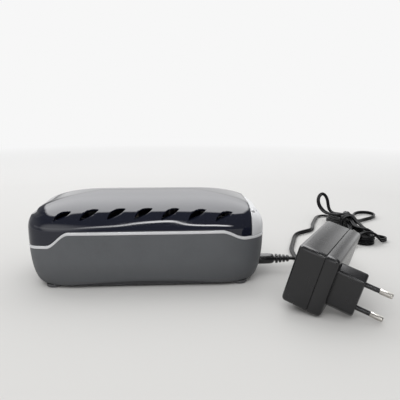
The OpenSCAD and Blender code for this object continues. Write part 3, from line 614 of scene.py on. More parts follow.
rim_section = [(rim_g, -band), (0.5, -band), (0.02, -band + 0.08), (-proud * 0.7, -band + 0.35),
               (-proud, -band + 0.8), (-proud, 0), (-proud, band - 0.8), (-proud * 0.7, band - 0.35),
               (0.05, band - 0.06), (0.5, band), (rim_g + rim_t, band)]
rim_rings = [[form_pt(t, rim_foot_z, rim_g) for t in plan]] + [rim_ring(g, up) for g, up in rim_section]
rim_rings += [[form_pt(t, rim_foot_z, rim_g + rim_t) for t in plan]]
rim = piece(creased(skin("rim_silver", rim_rings, closed=True)), "base", "silver", "trim_rim")
print("rim faces", faces_of(rim))

# %% [markdown]
# The lid is a thin dome. A flattened sphere would be quick, but it would miss the long flat crown.
# Its rows are close together where the form turns fast, because a glossy surface shows every
# facet. The same rows run back down the inside, so the lid has a wall like the real one.

# %% Dome skins
dome_rows = 46
rows_up = [math.sin(math.pi / 2 * k / dome_rows) for k in range(dome_rows)] + [0.9997]


def dome_ring(f, inset, lift, top, drop=0):
    out = []
    for t in plan:
        z0 = trim_at(plan_x(t)) + lift
        out.append(form_pt(t, z0 + (top - z0) * f + drop, inset, -drop))
    return out


def dome_skin(name, wall, lift, drop, edge=0.4):
    top = body_h - drop
    rings = [dome_ring(f, wall, lift, top - wall, drop) for f in reversed(rows_up[::3] + [rows_up[-1]])]
    rings.append(dome_ring(0, edge, lift, top, drop))
    rings.append([(p[0], p[1], p[2] + edge * 0.35) for p in dome_ring(0, edge * 0.2, lift, top, drop)])
    rings += [dome_ring(f, 0, lift, top, drop) for f in [edge / 22] + rows_up[1:]]
    return skin(name, rings, (0, 0, top - wall), (0, 0, top))


lid_wall, lid_gap, lid_end = 2.6, 0.3, 86
lid = dome_skin("lid_dome", lid_wall, band + lid_gap, 0)
cut(lid, box_mm("beyond_lid", (lid_end, -60, 0), (120, 60, 100)))
print("lid faces", faces_of(lid))

# %% [markdown]
# Seven leaf-shaped vents slope along each side, in a row that is slightly arched. A bump map could
# fake them, but light and air pass through the real ones. Each is a scoop that dives under its
# upper edge, so the cutter is a leaf with a slanted floor, and its upper side goes right through.

# %% Vents
vents, vent_pitch, vent_l, vent_slope, vent_x0 = 7, 21.8, 17.6, 34, -1.9
vent_in, vent_up, side_lean, floor_slant = 6.5, 14, 38, 0.62
upper_rise, lower_rise = 4.6, 1.9


def bow(length, rise, steps=15):
    """Points of a flat circular bow over a chord along x."""
    r = (length ** 2 / 4 + rise ** 2) / (2 * rise)
    half = math.asin(length / 2 / r)
    return [(r * math.sin(a), r * math.cos(a) - r + rise) for a in np.linspace(-half, half, steps)]


def vent_cutter(place):
    leaf = [(x, -y) for x, y in bow(vent_l, lower_rise)] + bow(vent_l, upper_rise)[-2:0:-1]
    slanted = [(x, y, -0.1 - floor_slant * (y + lower_rise)) for x, y in leaf]
    return block("leaf", slanted, [(x, y, 6) for x, y in leaf], place)


for turn in (0, math.pi):
    for k in range(vents):
        arch = 0.9 - 0.33 * (k - 2.55) ** 2
        place = at(vent_x0 + (k - vents // 2) * vent_pitch, -half_side + vent_in, waist_z + vent_up)
        place = Matrix.Rotation(turn, 4, "Z") @ place
        place = place @ Matrix.Rotation(math.radians(side_lean), 4, "X") @ at(0, arch, 0)
        cut(lid, vent_cutter(place @ Matrix.Rotation(math.radians(vent_slope), 4, "Z")))
print("lid faces after vents", faces_of(lid))

# %% [markdown]
# A shallow scoop runs round the thumb end, where a finger lifts the lid. A bent tube could cut it,
# but its depth would be the same all along. So the cutter is swept in rings that follow the
# dome, deepest in the middle, like the hollow that a ball-nosed tool would leave.

# %% Thumb scoop
scoop_half, scoop_depth, scoop_low, scoop_high = 36, 1.5, 11.8, 18.7


def dome_x(y, z):
    return -half_l(z) * (1 - (abs(y) / half_w(z)) ** plan_power) ** (1 / plan_power)


def scoop_ring(s):
    lo_z, hi_z = waist_z + scoop_low + 0.3 * s * s, waist_z + scoop_high - 4.2 * s * s
    low = Vector((dome_x(scoop_half * s, lo_z), scoop_half * s, lo_z))
    high = Vector((dome_x(scoop_half * s, hi_z), scoop_half * s, hi_z))
    mid = (low + high) / 2
    out = (mid - Vector((-60, mid.y * 0.45, waist_z))).normalized()
    deep = scoop_depth * (1 - s * s)
    hollow = [high.lerp(low, q) - out * (deep * 4 * q * (1 - q)) for q in np.linspace(0, 1, 12)]
    return hollow + [low + out * 4, high + out * 4]


scoop_rings = [scoop_ring(s) for s in np.linspace(-0.98, 0.98, 40)]
scoop_caps = [sum(r, Vector()) / len(r) for r in (scoop_rings[0], scoop_rings[-1])]
cut(lid, skin("scoop", scoop_rings, *scoop_caps))
softened_edges(lid, 0.3, 48)
piece(creased(lid, 32), "lid", "lid", "lid")
print("lid faces at the end", faces_of(lid))

# %% [markdown]
# Two arms reach from the lid to the hinge pin. Each is a flat plate with a round eye. Their tops
# lie flush with the silver cap that they swing through. That curve could be typed into the plate,
# but it is surer to cut each plate off along a solid of the cap's own form.

# %% Hinge arms
hinge_x, hinge_z, arm_r, arm_w, arm_y, pin_r = 88.6, 59.5, 3.8, 5, 24, 1.5
bore_r, cap_drop = pin_r + 0.05, 1.7
cap_levels = list(np.linspace(30, 60, 8)) + list(np.linspace(61, 74.5, 24))


def under_cap(inset):
    """A solid that fills the form under the cap, to cut off what stands out of it."""
    rings = [[form_pt(t, z, inset, -cap_drop - inset) for t in plan] for z in cap_levels]
    return skin("under_cap", rings, (0, 0, 29), (0, 0, 72.8 - inset))


def eye_of_hinge(r, start, end, steps):
    return [(hinge_x + r * math.cos(a), hinge_z + r * math.sin(a)) for a in np.linspace(start, end, steps)]


def hinge_plate(name, outline, y, thick):
    """A plate of (along, up) points across the hinge, to be bored and trimmed to the cap."""
    return prism(name, [(x, -z) for x, z in outline], thick, at(0, y, 0) @ ALONG_Y)


def bored(plate, y):
    return cut(plate, turned("bore", [(bore_r, -8), (bore_r, 8)], at(hinge_x, y, hinge_z) @ ALONG_Y))


arm_outline = eye_of_hinge(arm_r, -math.pi / 2, math.pi / 4, 18)
arm_outline += [(lid_end + 3, hinge_z + 8), (lid_end - 6, hinge_z + 9), (lid_end - 9, hinge_z + 4),
                (lid_end - 3, hinge_z - 2.6)]
plates = [hinge_plate("arm", arm_outline, side * arm_y, arm_w) for side in (-1, 1)]
for plate, side in zip(plates, (-1, 1)):
    bored(cut(plate, under_cap(0.02), "INTERSECT"), side * arm_y)
arms = softened_edges(joined(plates, "lid_hinge_arms"), 0.4, 40)
piece(creased(arms), "lid", "silver")
print("arms", [round(v, 1) for v in arms.dimensions * 1000])

# %% [markdown]
# The silver cap beyond the lid is fixed. It could be modelled on its own, but then its lines would
# never run on from the lid's. So it is a slice of the same dome, a little lower. Two slots let the
# lid's arms swing.

# %% End cap
cap_gap, cap_wall, ear_t, ear_r, arm_gap, slot_reach = 0.8, 2, 2.7, 3.8, 0.3, 4.3
cap_x = lid_end + cap_gap
bulkhead_z = hinge_z - 4
cap = dome_skin("end_cap_silver", cap_wall, band + seat, cap_drop)
cut(cap, box_mm("before_cap", (-120, -60, 0), (cap_x, 60, 100)))
for side in (-1, 1):
    low_y, high_y = side * arm_y - arm_w / 2 - arm_gap, side * arm_y + arm_w / 2 + arm_gap
    cut(cap, box_mm("arm_slot", (cap_x - 1, low_y, bulkhead_z), (hinge_x + slot_reach, high_y, 90)))
piece(creased(softened_edges(cap, 0.4, 50)), "base", "silver", "end_cap")
print("cap faces", faces_of(cap))

# %% [markdown]
# Behind the gap, a bulkhead closes the cap, and four ears on it hold the hinge pin. Only an open lid
# shows them. They could be left to the plain solids of the frame. But bright silver shows facets
# and knife edges, so they are laid out again as plates, trimmed to the cap and softened.

# %% Bulkhead and hinge ears
bulkhead_t, bulkhead_foot_z, bulkhead_inset = 1.6, 34.2, 4.9


def inside_half_w(z, x, inset):
    reach = min(1, abs(x) / (half_l(z) - inset))
    return (half_w(z) - inset) * (1 - reach ** plan_power) ** (1 / plan_power)


half_wall = [(inside_half_w(z, cap_x + 2, bulkhead_inset), z)
             for z in np.linspace(bulkhead_foot_z, bulkhead_z, 16)]
wall_outline = half_wall + [(-y, z) for y, z in reversed(half_wall)]
ears = [prism("cap_bulkhead", wall_outline, bulkhead_t, at(cap_x + bulkhead_t / 2, 0, 0) @ SEEN_FROM_END)]
ear_outline = eye_of_hinge(ear_r, -0.2, math.pi * 0.86, 16)
ear_outline += [(cap_x, bulkhead_z - 6), (hinge_x + ear_r, bulkhead_z - 6)]
for side in (-1, 1):
    for s in (-1, 1):
        y = side * arm_y + s * (arm_w + 2 * arm_gap + ear_t) / 2
        ears.append(cut(bored(hinge_plate("ear", ear_outline, y, ear_t), y), under_cap(0.5), "INTERSECT"))
bulkhead = softened_edges(joined(ears, "cap_bulkhead"), 0.3, 40)
piece(creased(bulkhead), "base", "silver", "end_cap")
print("bulkhead faces", faces_of(bulkhead))

# %% [markdown]
# The adapter's case is two moulded halves that meet in a fine groove. The groove could be a dark
# line of paint, but at this size its two edges catch light. So each half is a box with all its
# edges rounded by a bevel, cut off at the seam.

# %% Adapter case
edge_r, seam_x, seam_gap = 3.2, -nose_l - adapter_t / 3, 0.7


def rounded_block(name, low, high, r, place, segments=5):
    bm = bmesh.new()
    bmesh.ops.create_cube(bm, size=1)
    size, mid = [b - a for a, b in zip(low, high)], [(a + b) / 2 for a, b in zip(low, high)]
    for v in bm.verts:
        v.co = Vector([v.co[i] * size[i] + mid[i] for i in range(3)])
    bmesh.ops.bevel(bm, geom=bm.edges[:], offset=r, segments=segments, profile=0.5, affect="EDGES")
    for v in bm.verts:
        v.co = (place @ v.co) * MM
    mesh = bpy.data.meshes.new(name)
    bm.to_mesh(mesh)
    bm.free()
    return new_object(name, mesh)


def case_half(name, side):
    low, high = [body_x0, body_y0, -adapter_w / 2], [-nose_l, body_y1, adapter_w / 2]
    half = rounded_block(name, low, high, edge_r, adapter_place)
    near, far = sorted((seam_x + side * seam_gap / 2, seam_x - side * 60))
    cut(half, box_mm("other_side", (near, -100, -100), (far, 100, 100), adapter_place))
    return softened_edges(half, 0.25, 60)


relief_place = adapter_place @ at(relief_x, body_y1, 0) @ ALONG_Y
rear = case_half("adapter_rear_half", -1)
cut(rear, turned("relief_hole", [(3.1, -6), (3.1, 6)], relief_place))
piece(creased(rear), "base", "adapter", "adapter_rear_case")
print("rear half faces", faces_of(rear))

# %% [markdown]
# A six-sided plug nose stands on the front half, with a hole for each pin. It could be a piece of its
# own, but on the real case it is one moulding with the front. So it is a bevelled prism, joined to
# the half by a boolean union. A hollow tongue then shows as the dark bottom of the seam.

# %% Plug nose and seam
nose_high, nose_flat, pin_side, pin_hole_r = 13.7, 26.1, 9.3, 1.85
tongue, tongue_wall = 1.3, 2
nose_outline = [(0, nose_w / 2), (-nose_high / 2, nose_flat / 2), (-nose_high / 2, -nose_flat / 2),
                (0, -nose_w / 2), (nose_high / 2, -nose_flat / 2), (nose_high / 2, nose_flat / 2)]
front = case_half("adapter_front_half", 1)
nose = prism("nose", nose_outline, nose_l + 4, adapter_place @ at(-nose_l / 2 - 2, 0, 0) @ SEEN_FROM_END)
cut(front, softened_edges(nose, 1.6, 20, 5), "UNION")
for s in (-1, 1):
    pin_hole = [(pin_hole_r, -9), (pin_hole_r, 3)]
    cut(front, turned("pin_hole", pin_hole, adapter_place @ at(0, 0, s * pin_side) @ ALONG_X, 24))
piece(creased(front, 30), "base", "adapter", "adapter_front_case")
tongue_low = (seam_x - 1.5, body_y0 + tongue, -adapter_w / 2 + tongue)
tongue_high = (seam_x + 1.5, body_y1 - tongue, adapter_w / 2 - tongue)
seam = rounded_block("adapter_seam", tongue_low, tongue_high, 1, adapter_place, 3)
hollow_low = (seam_x - 9, tongue_low[1] + tongue_wall, tongue_low[2] + tongue_wall)
hollow_high = (seam_x + 9, tongue_high[1] - tongue_wall, tongue_high[2] - tongue_wall)
cut(seam, box_mm("hollow", hollow_low, hollow_high, adapter_place))
piece(creased(seam), "base", "adapter")
print("front half and seam faces", faces_of(front, seam))

# %% [markdown]
# The mains pins are turned from brass and plated. A thin shank runs inside a black sleeve, so that
# a finger never meets bare metal, and only the last part is thick and bright. Two cylinders
# would do from afar. A lathe profile adds the rounded tip, which is where the light sits.

# %% Mains pins and their sleeves
pin_profile = [(0.7, -6), (1.4, -6), (1.4, 10), (1.9, 10), (2, 10.15), (2, 17.5), (1.93, 18.1),
               (1.7, 18.6), (1.3, 18.9), (0.6, 19)]
sleeve_profile = [(1.45, -0.8), (1.8, -0.8), (1.8, 0.3), (1.74, 9.6), (1.6, 10), (1.45, 10)]
for k, side in ((1, 1), (2, -1)):
    axis = adapter_place @ at(0, 0, side * pin_side) @ ALONG_X
    pin = creased(turned(f"mains_pin_turned_{k}", pin_profile, axis))
    sleeve = creased(turned(f"pin_sleeve_moulded_{k}", sleeve_profile, axis, caps=False))
    piece(pin, "base", "nickel", f"mains_pin_{k}")
    piece(sleeve, "base", "adapter", f"pin_sleeve_{k}")

# %% [markdown]
# Where the lead leaves a moulding, soft ribs let it bend without breaking. A bump on a plain cone
# would not show against the light, and these ribs do. They are rings on a tapering core, so a
# lathe profile makes them: the outline is drawn once and turned about the lead.

# %% Ribbed relief and plug


def ribbed(core0, core1, rib0, rib1, start, length, ribs, solid=0.55):
    """Profile of rings on a tapering core, from start over length."""
    out, pitch = [], length / ribs
    for i in range(ribs):
        f = i / max(1, ribs - 1)
        core, rib, z = core0 + (core1 - core0) * f, rib0 + (rib1 - rib0) * f, start + i * pitch
        rib_z, end_z = z + pitch * (1 - solid), z + pitch
        out += [(core, z + 0.01), (core, rib_z - 0.15), (rib - 0.15, rib_z),
                (rib, rib_z + 0.2), (rib, end_z - 0.25), (rib - 0.2, end_z - 0.05)]
    return out


relief_profile = [(0.5, -3.4), (3, -3.4), (3, 0), (4.3, 0.05), (4.4, 0.8), (4.4, 3), (4.1, 3.4)]
relief_profile += ribbed(2.9, 2.6, 4.1, 3.1, 3.5, relief_l - 4.3, 8)
relief_profile += [(2.7, relief_l - 0.2), (2.4, relief_l), (0.5, relief_l)]
relief = creased(turned("adapter_relief_ribbed", relief_profile, relief_place), 50)
piece(relief, "base", "adapter", "adapter_strain_relief")

plug_x0, plug_x1, boot_l = 90.2, 112.2, 14
plug_profile = [(0.5, plug_x0), (4.2, plug_x0), (4.6, plug_x0 + 0.4), (4.7, plug_x0 + 1.2),
                (4.7, plug_x1 - 6), (4.55, plug_x1 - 3), (4.1, plug_x1 - 1), (3.6, plug_x1 - 0.3)]
plug_profile += ribbed(2.3, 2, 4.2, 3.1, plug_x1, boot_l - 0.6, 4, 0.5)
plug_profile += [(2.5, plug_x1 + boot_l - 0.3), (2.2, plug_x1 + boot_l), (0.5, plug_x1 + boot_l)]
plug = creased(turned("plug_ribbed_boot", plug_profile, at(0, inlet_y, inlet_z) @ ALONG_X), 50)
piece(plug, "base", "adapter", "plug_body")
print("relief and plug faces", faces_of(relief, plug))

# %% [markdown]
# On the real object the lead is slack, and the plug and the whole adapter hang on it. Here it stays
# a plain mesh on the base, and nothing says that it bends.

# %% [markdown]
# Colours are typed as a screen shows them, from 0 to 255, because that is how they are compared with
# the photograph. Linear colours could be typed instead, but they mean nothing to the eye. The
# shader wants them linear, so a helper converts them, and another makes a lighter or darker tone.

# %% Helpers for colours


def srgb(r, g, b):
    linear = [((c / 255 + 0.055) / 1.055) ** 2.4 if c > 10 else c / 255 / 12.92 for c in (r, g, b)]
    return (*linear, 1)


def shade(colour, by):
    return tuple(min(1, c * by) for c in colour[:3]) + (1,)


print("mid grey is", round(srgb(128, 128, 128)[0], 3), "in linear light")

# %% [markdown]
# Every finish is made from nodes, and so is the light of the room. Nodes can be placed and linked
# by hand in the editor. In a script that takes a line for every socket, so one helper makes a node
# and fills its inputs. Each input takes a number, a colour, or what another node gives out.

# %% Helpers for nodes


class Nodes:
    """The nodes of one material or world."""

    def __init__(self, tree):
        self.nodes, self.links = tree.nodes, tree.links

    def feed(self, sockets, values):
        for socket, value in zip(sockets, values):
            if isinstance(value, bpy.types.NodeSocket):
                self.links.new(value, socket)
            else:
                socket.default_value = value

    def node(self, kind, **inputs):
        made = self.nodes.new("ShaderNode" + kind)
        self.feed([made.inputs[key.replace("_", " ")] for key in inputs], inputs.values())
        return made

    def split(self, place):
        return self.node("SeparateXYZ", Vector=place).outputs

    def ramp(self, source, low, high, at0=0.0, at1=1.0, kind="LINEAR"):
        """Goes from low to high while source goes from at0 to at1."""
        made = self.node("MapRange", Value=source, From_Min=at0, From_Max=at1, To_Min=low, To_Max=high)
        made.interpolation_type = kind
        return made.outputs["Result"]

    def blend(self, share, colour_a, colour_b):
        made = self.node("Mix")
        made.data_type = "RGBA"
        self.feed([made.inputs[i] for i in (0, 6, 7)], (share, colour_a, colour_b))
        return made.outputs[2]

    def curve(self, source, start, end, between):
        """A smooth curve over source from 0 to 1, through the points between start and end."""
        made = self.node("FloatCurve", Value=source)
        points = made.mapping.curves[0].points
        for point in between:
            points.new(*point)
        points[0].location, points[-1].location = (0, start), (1, end)
        made.mapping.update()
        return made.outputs["Value"]


print("node helpers ready")

# %% [markdown]
# A finish starts from the plain shader, and what is the same all over is set on the shader's own
# sockets. Patterns could come from painted pictures, but a picture blurs close up. So they are noise
# in the piece's own coordinates in metres, where a grain of 0.3 mm has a scale of about 3000.

# %% Helpers for finishes


class Finish(Nodes):
    def __init__(self, name, colour, rough, **sockets):
        self.material = bpy.data.materials.new(name)
        self.material.use_nodes = True
        super().__init__(self.material.node_tree)
        self.shader = self.nodes["Principled BSDF"]
        self.shader.inputs["Base Color"].default_value = colour
        self.shader.inputs["Roughness"].default_value = rough
        for key, value in sockets.items():
            self.shader.inputs[key.replace("_", " ")].default_value = value
        self.place = self.node("TexCoord").outputs["Object"]

    def stretched(self, scale=(1, 1, 1), turn=(0, 0, 0)):
        return self.node("Mapping", Vector=self.place, Scale=scale, Rotation=turn).outputs["Vector"]

    def noise(self, scale, detail, place=None):
        return self.node("TexNoise", Vector=place or self.place, Scale=scale, Detail=detail).outputs["Fac"]

    def clouds(self, scale, detail, low=0, high=1, place=None):
        """Noise whose middle is spread from low to high."""
        return self.ramp(self.noise(scale, detail, place), low, high, 0.3, 0.7)

    def cells(self, scale):
        return self.node("TexVoronoi", Vector=self.place, Scale=scale).outputs["Distance"]

    def bands(self, scale, direction, place=None):
        made = self.node("TexWave", Vector=place or self.place, Scale=scale)
        made.bands_direction = direction
        return made.outputs["Fac"]

    def paint(self, socket, source):
        self.links.new(source, self.shader.inputs[socket])

    def bump(self, source, depth):
        """Raises the surface by depth in millimetres where source is 1."""
        made = self.node("Bump", Height=source, Strength=1.0, Distance=depth * MM)
        self.paint("Normal", made.outputs["Normal"])

    def surface(self, shader_output):
        self.links.new(shader_output, self.nodes["Material Output"].inputs["Surface"])


print("finish helpers ready")

# %% [markdown]
# The shell, the tray and the adapter are matt mouldings. A mould is etched, so they have a fine
# grain that breaks up the light. One flat grey would look like a drawing. So noise gives the grain,
# a cloudy tone and an uneven shine, and painted shade makes the shell darker towards the table.

# %% Finishes of the matt mouldings


def moulded(name, colour, rough, grain=3200, depth=0.012, patchy=0.08, uneven=0.06, **sockets):
    f = Finish(name, colour, rough, **sockets)
    tone = f.blend(f.clouds(55, 4), shade(colour, 1 - patchy), shade(colour, 1 + patchy))
    speck = f.ramp(f.noise(grain * 0.7, 1), 0, 1, 0.35, 0.7)
    f.paint("Base Color", f.blend(speck, tone, shade(colour, 1.12)))
    f.paint("Roughness", f.clouds(140, 3, rough - uneven, rough + uneven))
    f.bump(f.noise(grain, 2), depth)
    return f


shell_grey = srgb(84, 86, 89)
shell_finish = moulded("shell_grey_grain", shell_grey, 0.52)
# Painted shade: over its lowest 22 mm the shell's colour darkens to 70 %, standing in for the weaker light
# near the table.
clear_of_painted_shade = shell_finish.ramp(shell_finish.split(shell_finish.place)["Z"], 0, 1, 0.002, 0.022)
grain_tone = shell_finish.shader.inputs["Base Color"].links[0].from_socket
shell_finish.paint("Base Color", shell_finish.blend(clear_of_painted_shade, shade(shell_grey, 0.7), grain_tone))
finishes = {"shell": shell_finish,
            "base": moulded("base_dark_moulding", srgb(48, 48, 51), 0.5),
            "slider": moulded("slider_dark_moulding", srgb(58, 58, 62), 0.48),
            "adapter": moulded("adapter_black_satin", srgb(24, 24, 26), 0.26, 3400, 0.003, 0.04, 0.02),
            "component": moulded("component_black", srgb(40, 40, 44), 0.4, 2500, 0.008)}
print("finishes", len(finishes))

# %% [markdown]
# The feet are rubber and the lead has a soft black skin. A shader for cloth or velvet would be too
# pale at the edges. The same moulded finish serves both, with a coarse deep grain for the rubber.
# The lead mirrors almost nothing, so its specular level is low.

# %% Finishes of the feet and the lead
finishes["soft"] = moulded("foot_rubber", srgb(74, 74, 76), 0.8, 1500, 0.03)
finishes["lead"] = moulded("lead_soft_black", srgb(11, 11, 13), 0.3, 1800, 0.005, 0.12, 0.04,
                           Specular_IOR_Level=0.1)
print("finishes", len(finishes))

# %% [markdown]
# The lid is polished and near-black, with the faint dust and hairlines that any handled gloss
# shows. A clear coat over a matt colour would do it with one more layer. But the lid has one
# surface, so a low roughness is enough, and stretched noise and small cells disturb it.

# %% Finish of the lid
lid_navy = srgb(22, 25, 38)
gloss = Finish("lid_navy_gloss", lid_navy, 0.06, Specular_IOR_Level=0.5)
hairlines = gloss.ramp(gloss.noise(900, 2, gloss.stretched((1, 0.03, 1), (0, 0, 0.5))), 0, 1, 0.6, 0.75)
gloss.paint("Roughness", gloss.ramp(hairlines, 0.05, 0.13))
dust = gloss.ramp(gloss.cells(420), 1, 0, 0.04, 0.09)
gloss.paint("Base Color", gloss.blend(dust, lid_navy, srgb(70, 74, 88)))
gloss.bump(gloss.noise(160, 1), 0.004)
finishes["lid"] = gloss
print("finishes", len(finishes))

# %% [markdown]
# The rim, the cap and the hinge arms are sprayed with silver lacquer, where tiny flakes lie in a
# clear binder. Pure metal would mirror the room too sharply. So it is a light grey with a little
# metal in it, and fine cells give the flakes their own tones.

# %% Finish of the silver pieces
silver_tone = srgb(216, 217, 219)
silver = Finish("silver_lacquer", silver_tone, 0.4, Metallic=0.12)
flakes = silver.ramp(silver.cells(5200), 0, 1, 0.15, 0.6)
silver.paint("Base Color", silver.blend(flakes, shade(silver_tone, 1.06), shade(silver_tone, 0.9)))
silver.paint("Roughness", silver.clouds(200, 3, 0.36, 0.46))
silver.bump(silver.noise(2600, 1), 0.003)
finishes["silver"] = silver
print("finishes", len(finishes))

# %% [markdown]
# Springs and pins are drawn wire, so their grain runs along them. The shader's own anisotropy
# could hint at it, but close up the eye looks for lines. Noise stretched one way gives them. Plated
# contacts are smoother and only faintly scratched.

# %% Finishes of the metal parts


def drawn(name, colour, rough, stretch, depth=0.004, streaky=0.13):
    f = Finish(name, colour, rough, Metallic=1.0)
    along = f.stretched(stretch)
    lines = f.noise(2600, 3, along)
    streaks = f.ramp(lines, 0, 1, 0.3, 0.7)
    f.paint("Base Color", f.blend(streaks, shade(colour, 1 - streaky), shade(colour, 1 + streaky)))
    f.paint("Roughness", f.clouds(1800, 2, rough - 0.4 * streaky, rough + 0.6 * streaky, along))
    if depth:
        f.bump(lines, depth)
    return f


finishes["steel"] = drawn("plain_steel", srgb(186, 187, 190), 0.32, (1, 0.04, 1))
finishes["spring"] = drawn("spring_wire", srgb(180, 182, 186), 0.3, (1, 1, 0.05))
finishes["nickel"] = drawn("nickel_plate", srgb(188, 185, 180), 0.34, (0.1, 0.1, 1), 0, 0.03)
finishes["fins"] = drawn("plain_aluminium", srgb(196, 198, 202), 0.4, (1, 1, 0.05))
print("finishes", len(finishes))

# %% [markdown]
# The hidden parts get finishes too, because the lid opens and the case can be taken apart. The
# boards are thin sheets under lacquer. Their tracks could be modelled one by one, but they are only
# 0.03 mm high, so a brick pattern stands for the tracks and small cells for the solder.

# %% Finishes of the circuit boards
board = Finish("board_green", srgb(30, 92, 52), 0.35, Coat_Weight=0.6, Coat_Roughness=0.15)
track_rows = board.node("TexBrick", Vector=board.place, Scale=260.0, Mortar_Size=0.035, Brick_Width=1.7,
                        Row_Height=0.55)
track_rows.offset = 0.37
track_tone = board.blend(track_rows.outputs["Fac"], srgb(26, 84, 48), srgb(48, 118, 66))
solder = board.ramp(board.cells(330), 1, 0, 0.1, 0.16)
board.paint("Base Color", board.blend(solder, track_tone, srgb(190, 192, 188)))
board.bump(track_rows.outputs["Fac"], 0.03)
finishes["board"] = board

paper = Finish("board_brown", srgb(150, 112, 62), 0.5)
fibres = paper.clouds(700, 4, place=paper.stretched((1, 0.15, 1)))
paper.paint("Base Color", paper.blend(fibres, srgb(138, 100, 54), srgb(168, 128, 76)))
paper.bump(paper.noise(1400, 2), 0.008)
finishes["adapter_board"] = paper
print("finishes", len(finishes))

# %% [markdown]
# Coils are enamelled copper wire, wound turn by turn, and the transformer's core is a stack of
# iron sheets. Hundreds of turns would be heavy geometry for parts that hardly show. Even bands,
# raised a little, read as turns and as sheets.

# %% Finishes of the coils and the iron core
coil = Finish("enamelled_winding", srgb(176, 92, 48), 0.28, Metallic=0.85, Coat_Weight=0.7,
              Coat_Roughness=0.1)
turns_of_wire = coil.bands(900, "Z")
coil.paint("Base Color", coil.blend(turns_of_wire, srgb(120, 56, 28), srgb(200, 112, 62)))
coil.bump(turns_of_wire, 0.12)
finishes["copper"] = coil

iron = Finish("stacked_iron", srgb(98, 100, 104), 0.5, Metallic=0.8)
sheets = iron.bands(630, "X", iron.stretched(turn=(0, 0, -adapter_turn)))
iron.paint("Base Color", iron.blend(sheets, srgb(60, 61, 64), srgb(122, 124, 128)))
iron.paint("Roughness", iron.clouds(260, 3, 0.4, 0.6))
iron.bump(sheets, 0.06)
finishes["iron"] = iron
print("finishes", len(finishes))

# %% [markdown]
# A clear light pipe brings the glow of each small lamp up to the deck. It could be a plain bright
# dot, but the lamps are off here. So it is a clear plastic that lets light through, with the
# slightly wavy surface of a small moulding.

# %% Finish of the light pipes
pipe = Finish("clear_light_pipe", (0.78, 0.95, 0.8, 1), 0.12, Transmission_Weight=0.85, IOR=1.49)
pipe.paint("Roughness", pipe.clouds(900, 2, 0.06, 0.2))
pipe.bump(pipe.noise(500, 2), 0.01)
finishes["light"] = pipe
print("finishes", len(finishes))

# %% [markdown]
# On the real object one material serves many pieces: the rim, the cap and the arms come from one
# pot of lacquer. Each piece could be given its material where it is made. Here it is looked
# up by the slot that the record names, so a finish is changed in one place for all its pieces.

# %% Finishes on every piece
slot_of = {part["node"]: part["material_slot"] for part in frame["record"]["subparts"]}
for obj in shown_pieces():
    finish = finishes[obj.get("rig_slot") or slot_of[obj.name]]
    obj.data.materials.clear()
    obj.data.materials.append(finish.material)

# %% [markdown]
# The object stands on a pale table that runs back into a white ground. A curved paper sweep is the
# usual way in a studio. A flat floor is simpler to measure on: painted shade makes it darker near the
# front and lighter with distance, and far out it turns into an even glow, so that no horizon shows.

# %% Floor and backdrop
floor_z = -0.4
corners = [(x, y, floor_z) for x, y in ((-6000, -3000), (6000, -3000), (6000, 9000), (-6000, 9000))]
floor = mesh_object("table_top", corners, [(0, 1, 2, 3)])
paper_white = Finish("pale_table", (0.8, 0.8, 0.8, 1), 0.9, Specular_IOR_Level=0.0)
# Painted shade: the table's colour runs from a darker warm grey at the front to a lighter grey at the back.
far = paper_white.ramp(paper_white.split(paper_white.place)["Y"], 0, 1, -0.3, 1.6)
paper_white.paint("Base Color", paper_white.blend(far, (0.64, 0.634, 0.62, 1), (0.785, 0.785, 0.785, 1)))
paper_white.bump(paper_white.noise(300, 2), 0.01)
glow = paper_white.node("Emission", Color=(0.93, 0.93, 0.93, 1), Strength=1.0)
reach = paper_white.node("VectorMath")
reach.operation = "LENGTH"
paper_white.feed(reach.inputs, [paper_white.place])
far_out = paper_white.ramp(reach.outputs["Value"], 0, 1, 0.5, 1.35)
both = paper_white.node("MixShader")
paper_white.feed(both.inputs, (far_out, paper_white.shader.outputs["BSDF"], glow.outputs["Emission"]))
paper_white.surface(both.outputs["Shader"])
floor.data.materials.append(paper_white.material)
print("floor laid at", floor_z, "mm")

# %% [markdown]
# In a studio, gloss mirrors the whole room. A picture of a room could serve as the world, but its
# lights could not be moved one by one. Here the world's light is summed from areas with soft
# edges, each placed by the direction of a ray: a dim glow behind, beside and on the left.

# %% Glow that the lid mirrors
world = bpy.data.worlds.new("studio")
bpy.context.scene.world = world
world.use_nodes = True
room = Nodes(world.node_tree)
ray = room.split(room.node("TexCoord").outputs["Generated"])
dir_x, dir_y, dir_z = (ray[k] for k in "XYZ")


def eased(source, at0, at1, low=0, high=1):
    return room.ramp(source, low, high, at0, at1, "SMOOTHSTEP")


def worked(operation, *values):
    made = room.node("Math")
    made.operation = operation
    room.feed(made.inputs, values)
    return made.outputs[0]


def product(result, *others):
    for value in others:
        result = worked("MULTIPLY", result, value)
    return result


behind = product(eased(dir_y, 0.2, 0.6, 0, 0.95), eased(dir_x, -0.39, -0.28), eased(dir_x, 0.4, 0.52, 1, 0),
                 eased(dir_z, -0.02, 0.06))
beside = product(eased(dir_x, 0.45, 0.6, 0, 1.3), eased(dir_y, 0.0, 0.5))
left_behind = product(eased(dir_x, -0.5, -0.62, 0, 0.16), eased(dir_y, 0.2, 0.5))
towards_window = worked("MULTIPLY_ADD", dir_y, -0.83, worked("MULTIPLY", dir_z, 0.25))
towards_window = worked("MULTIPLY_ADD", dir_x, -0.5, towards_window)
left_glow = worked("ADD", eased(dir_x, -0.6, -0.95, 0, 0.4), eased(towards_window, 0.92, 0.995, 0, 1.5))
print("world nodes", len(room.nodes))

# %% [markdown]
# One thin bright line runs low across the front of the lid. It mirrors a long narrow light in
# front. A lamp could be that light, but the lid bends its image, and the line would climb. So the
# strip is part of the world, and a curve gives its height for every direction.

